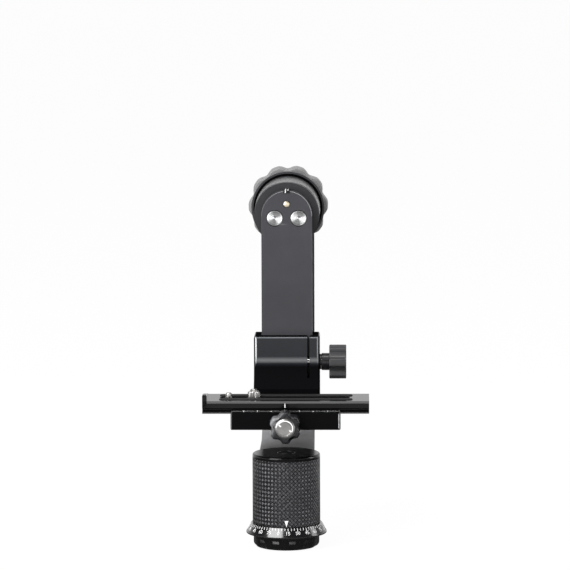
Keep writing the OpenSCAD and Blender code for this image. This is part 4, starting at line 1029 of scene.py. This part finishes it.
# %% Arm bolts and dowel
low, high = ends("arm_bolts")
bolt = [(0, -low.y), (5.6, -low.y), (5.72, -low.y - 0.15), (5.72, -low.y - 2.4),
        (3.5, -low.y - 2.6), (3.5, -high.y), (0, -high.y)]
heads = joined(lathe(bolt, "FRONT", (-bolt_x, 0, bolt_z), 64),
               lathe(bolt, "FRONT", (bolt_x, 0, bolt_z), 64))
made = shaped("arm_bolts", heads, "left_bolt", 20)
second_finish(made, "right_bolt", lambda face: face.center.x > 0)

low, high = ends("brass_dowel")
bm = lathe([(0, -low.y + 0.25), (1.5, -low.y + 0.2), (2.1, -low.y), (2.35, -low.y - 0.4),
            (2.45, -low.y - 0.8), (2.45, -high.y), (0, -high.y)],
           "FRONT", (0, 0, (low.z + high.z) / 2), 48)
shaped("brass_dowel", bm, "brass")

# %% [markdown]
# The arm's top has an index mark: a dark field over the round edge, with two light lines along
# it. They are thin bars that lie a few tenths of a millimetre proud, as thick paint does.

# %% Index mark
top = ends("swing_arm")[1].z
bm = joined(bar((-2.4, 42.45, top - 1.5), (2.4, 42.95, top + 0.35), 0.1),
            bar((-2.4, 42.6, top - 0.35), (2.4, 54.6, top + 0.4), 0.1))
piece("index_mark", bm, "dark_ink", "swing")
bm = joined(bar((-1.1, 42.4, top - 1.3), (-0.45, 54.4, top + 0.46), 0.03),
            bar((0.8, 42.5, top - 0.2), (1.25, 54.4, top + 0.44), 0.03))
piece("index_lines", bm, "white_ink", "swing")

# %% [markdown]
# The camera screw has a real thread. One pitch of it is drawn as a small wedge and spun with a
# rise on every step, which makes a helix, and a plain core runs up the middle. Below the thread
# it has a grip with twenty flutes, so that it can be run in by finger.

# %% Screw threads
def threaded(root, crest, pitch, low, high, centre=(0, 0, 0)):
    """A helical ridge between two heights: outward from a core, or inward from a bore."""
    wedge = outlined([(root, 0, low + pitch * 0.06), (crest, 0, low + pitch * 0.46),
                      (crest, 0, low + pitch * 0.54), (root, 0, low + pitch * 0.94)])
    turns = (high - low) / pitch - 1
    steps = round(turns * 36)
    ridge = spun(wedge, 2 * math.pi * turns, steps, turns * pitch * MM / steps)
    return set_down(ridge, "Z", centre)


low, high = ends("camera_screw")
screw_x = (low.x + high.x) / 2
plate_top = ends("rubber_strips")[0].z + 0.4
bm = lathe([(0, low.z), (6.0, low.z), (6.2, low.z + 0.2), (6.2, low.z + 1.5),
            (3.1, low.z + 1.6), (3.1, plate_top - 1.0), (4.1, plate_top - 0.9),
            (4.3, plate_top - 0.7), (4.3, plate_top + 4.0), (4.0, plate_top + 4.3),
            (2.65, plate_top + 4.3), (2.65, high.z - 0.35), (2.2, high.z), (0, high.z)], steps=80)
for vert in bm.verts:
    at_grip = plate_top - 1 < vert.co.z / MM < plate_top + 4.4
    if at_grip and vert.co.to_2d().length > 3.9 * MM:
        vert.co.xy *= 1 + 0.045 * math.cos(20 * math.atan2(vert.co.y, vert.co.x))
bmesh.ops.translate(bm, vec=(screw_x * MM, 0, 0), verts=bm.verts)
ridge = threaded(2.6, 3.17, 1.27, plate_top + 4.0, high.z, (screw_x, 0, 0))
shaped("camera_screw", joined(bm, ridge), "steel", 30)

# %% [markdown]
# The spring-loaded pin beside the screw keeps a camera from turning. It is spun, with a collar at
# its foot and a rounded tip. The brass insert in the foot of the head is a short tube whose
# thread points inward: the same helper draws it, from the bore towards the middle.

# %% Anti-twist pin and thread insert
low, high = ends("anti_twist_pin")
bm = lathe([(0, low.z), (3.2, low.z), (3.3, low.z + 0.1), (3.3, low.z + 0.7), (2.4, low.z + 0.8),
            (2.4, plate_top), (2.2, plate_top), (2.2, high.z - 1.0), (2.0, high.z - 0.5),
            (1.6, high.z - 0.15), (1.0, high.z), (0, high.z)],
           centre=((low.x + high.x) / 2, 0, 0), steps=48)
shaped("anti_twist_pin", bm, "steel")

low, high = ends("thread_insert")
bm = lathe([(4.75, low.z + 0.3), (5.1, low.z), (6.8, low.z), (7, low.z + 0.2), (7, high.z),
            (4.75, high.z)])
ridge = threaded(4.8, 3.97, 1.5875, low.z + 0.2, high.z)
shaped("thread_insert", joined(bm, ridge), "brass", 30)

# %% [markdown]
# The scale is printed on the cone: a tick every 5 degrees, longer at every 15, and numbers that
# run from 0 to 75 four times round. Each tick and number is made flat, in millimetres, and then
# wrapped on the cone by its angle and its distance up the slope. Text is turned into a mesh first.

# %% Printed scale
def lettering(words, height):
    """Flat solid letters, centred on the origin, with a height in millimetres."""
    letters = bpy.data.curves.new("letters", "FONT")
    letters.body, letters.align_x, letters.align_y = words, "CENTER", "CENTER"
    letters.extrude, letters.resolution_u = 1.0, 3
    holder = bpy.data.objects.new("letters", letters)
    mesh = bpy.data.meshes.new_from_object(holder)
    bpy.data.objects.remove(holder)
    bpy.data.curves.remove(letters)
    bm = bmesh.new()
    bm.from_mesh(mesh)
    bpy.data.meshes.remove(mesh)
    widths, heights = [v.co.x for v in bm.verts], [v.co.y for v in bm.verts]
    by = height / (max(heights) - min(heights)) * MM
    bmesh.ops.translate(bm, vec=(-(max(widths) + min(widths)) / 2, 0, 0), verts=bm.verts)
    bmesh.ops.scale(bm, vec=(by, by, 0.06 * MM), verts=bm.verts)
    return bm


slope = Vector((cone_high[0] - cone_low[0], cone_high[1] - cone_low[1]))
slope_length = slope.length
slope.normalize()


def round_base(radius, turn, height):
    """The place at a radius, a turn from the front and a height, in millimetres."""
    return Vector((radius * math.sin(turn), -radius * math.cos(turn), height)) * MM


def wrapped(bm, angle, along):
    """Wraps a flat mesh on the cone, at an angle from the front and a distance up the slope."""
    for vert in bm.verts:
        across, up, out = vert.co / MM
        radius = cone_low[0] + slope.x * (along + up) + slope.y * out
        height = cone_low[1] + slope.y * (along + up) - slope.x * out
        vert.co = round_base(radius, math.radians(angle) + across / radius, height)
    return bm


first_mark = 3.6
marks = bmesh.new()
for step in range(72):
    length = 2.7 if step % 3 == 0 else 1.8
    tick = bar((-0.19, -length / 2, -0.06), (0.19, length / 2, 0.06))
    middle = slope_length - 0.15 - length / 2
    marks = joined(marks, wrapped(tick, first_mark + 5 * step, middle))
for step in range(24):
    number = lettering(str((15 + 15 * step) % 90), 2.5)
    marks = joined(marks, wrapped(number, first_mark + 15 * step, 2.95))
piece("printed_scale", marks, "white_ink", "base", even=False)

# %% [markdown]
# A white triangle on the sleeve points at the scale. The plate has a short white line at its
# middle, and the jaw a fine bright line along the plate with a row of small dots, ten millimetres
# apart.

# %% Other marks
pointer_z, pointer_radius = ends("carbon_sleeve")[0].z + 1.4, 24.46
corners = [Vector(corner) * MM for corner in ((-1.4, 2.4, 0), (0, -2.3, 0), (1.4, 2.4, 0))]
bm = bmesh.new()
bm.faces.new([bm.verts.new(corner) for corner in corners])
pulled = bmesh.ops.extrude_face_region(bm, geom=bm.faces[:])["geom"]
bmesh.ops.translate(bm, vec=(0, 0, 0.1 * MM),
                    verts=[v for v in pulled if isinstance(v, bmesh.types.BMVert)])
for vert in bm.verts:
    across, up, out = vert.co / MM
    vert.co = round_base(pointer_radius + out, math.radians(1.0) + across / sleeve_radius,
                         pointer_z + up)
piece("sleeve_pointer", bm, "white_ink", "frame", even=False)

plate_low = ends("lens_plate")[0]
bm = bar((-0.9, plate_low.y - 0.05, 104.2), (-0.1, plate_low.y + 0.3, 107.1), 0.02)
piece("plate_centre_line", bm, "white_ink", "plate")

top = jaw_high.z
bm = bar((-38.8, plate_low.y - 1.15, top - 0.2), (38.8, plate_low.y - 0.95, top + 0.3), 0.04)
for step in range(-3, 4):
    bm = joined(bm, lathe([(0, top - 0.3), (0.55, top - 0.3), (0.55, top + 0.3), (0.4, top + 0.5),
                           (0, top + 0.55)], centre=(10 * step, plate_low.y - 1.6, 0), steps=16))
piece("jaw_dots", bm, "steel", "jaw")
made = [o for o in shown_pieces() if "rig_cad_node" not in o]
print("pieces:", len(made), "faces:", sum(len(o.data.polygons) for o in made))

# %% [markdown]
# The floor is a wide pale plane. The camera sees it as nearly white, and a share of its shading
# is kept, so that the head's shadow stays on it. In the head's glossy faces it shows dark near
# the head and bright far away, as a table does when the lamps stand at its far side.

# %% Floor
bm = bmesh.new()
bmesh.ops.create_grid(bm, x_segments=1, y_segments=1, size=20)
mesh = bpy.data.meshes.new("floor")
bm.to_mesh(mesh)
bm.free()
floor = bpy.data.objects.new("floor", mesh)
bpy.context.scene.collection.objects.link(floor)

pale = Finish("pale floor", (0.62, 0.62, 0.62), 0.6, Specular_IOR_Level=0.1)
ray = pale.node("ShaderNodeLightPath").socket.node.outputs


def glow(strength):
    return pale.node("ShaderNodeEmission", inputs={"Color": (1, 1, 1, 1), "Strength": strength})


x, y, z = pale.xyz()
far = ((-y).ramp(0.0, 0.6, 0.06, 0.50) + (-y).ramp(0.7, 2.4, 0.0, 0.5)).most(y.ramp(0.1, 0.5))
seen = pale.mix_shaders(Value(pale, ray["Is Camera Ray"]) * 0.93, pale.first, glow(1.03))
mirrored = pale.mix_shaders(far, glow(0.02), glow(1.2))
pale.show(pale.mix_shaders(Value(pale, ray["Is Glossy Ray"]), seen, mirrored))
mesh.materials.append(pale.material)
print("floor:", round(floor.dimensions.x), "m wide")

# %% [markdown]
# The room is white behind the head and above its back, and dim behind the camera, so that black
# faces turned to the camera stay black while faces seen at a shallow angle pick up the white. A
# low bright line behind the camera shows as a band on knobs and bends, where they face a little
# upwards.

# %% Room
world = bpy.data.worlds.new("studio")
bpy.context.scene.world = world
world.use_nodes = True
room = Shading(world.node_tree)
ray = room.node("ShaderNodeLightPath").socket.node.outputs
camera_ray = Value(room, ray["Is Camera Ray"])
glossy = Value(room, ray["Is Glossy Ray"]).most(Value(room, ray["Is Transmission Ray"]))
x, y, z = room.parts(room.node("ShaderNodeTexCoord", out=0))
behind = y.ramp(0.30, 0.75)
horizon = abs(z).ramp(0.26, 0.0)
reflected = behind * 0.88 + (1 - behind) * (0.05 + horizon * horizon * 2.4)
strength = camera_ray + (1 - camera_ray) * (glossy * reflected + (1 - glossy) * 0.42)
background = world.node_tree.nodes["Background"]
background.inputs["Color"].default_value = (1, 1, 1, 1)
room.put(background.inputs["Strength"], strength)
print("nodes in the room's light:", len(room.tree.nodes))

# %% [markdown]
# Four soft boxes do the rest: a wide one at the upper left, which makes the bright patch on the
# scale ring, a low one close by at the left for the bolt heads, the block's corner and the knob's
# lobes, a weaker one at the right and a little behind, and a long one overhead that lights the
# tops and the round edges.

# %% Lamps
def soft_box(name, towards, distance, width, height, power, aim=(0, 0, 0.13)):
    """An area lamp that faces the head from a direction."""
    lamp = bpy.data.lights.new(name, "AREA")
    lamp.shape, lamp.size, lamp.size_y, lamp.energy = "RECTANGLE", width, height, power
    box = bpy.data.objects.new(name, lamp)
    bpy.context.scene.collection.objects.link(box)
    direction = Vector(towards).normalized()
    box.location = Vector(aim) + direction * distance
    box.rotation_euler = direction.to_track_quat("Z", "Y").to_euler()
    print(name + ":", power, "W")


soft_box("upper_left_box", (-0.479, -0.586, 0.645), 1.6, 1.1, 0.7, 26)
soft_box("left_box", (-0.68, -0.72, 0.16), 1.05, 0.55, 0.5, 3.6)
soft_box("right_box", (0.94, 0.12, 0.30), 1.8, 0.5, 1.2, 8)
soft_box("overhead_box", (0.0, -0.12, 1.0), 1.5, 1.3, 0.5, 11)
bpy.context.scene.view_settings.view_transform = "Standard"
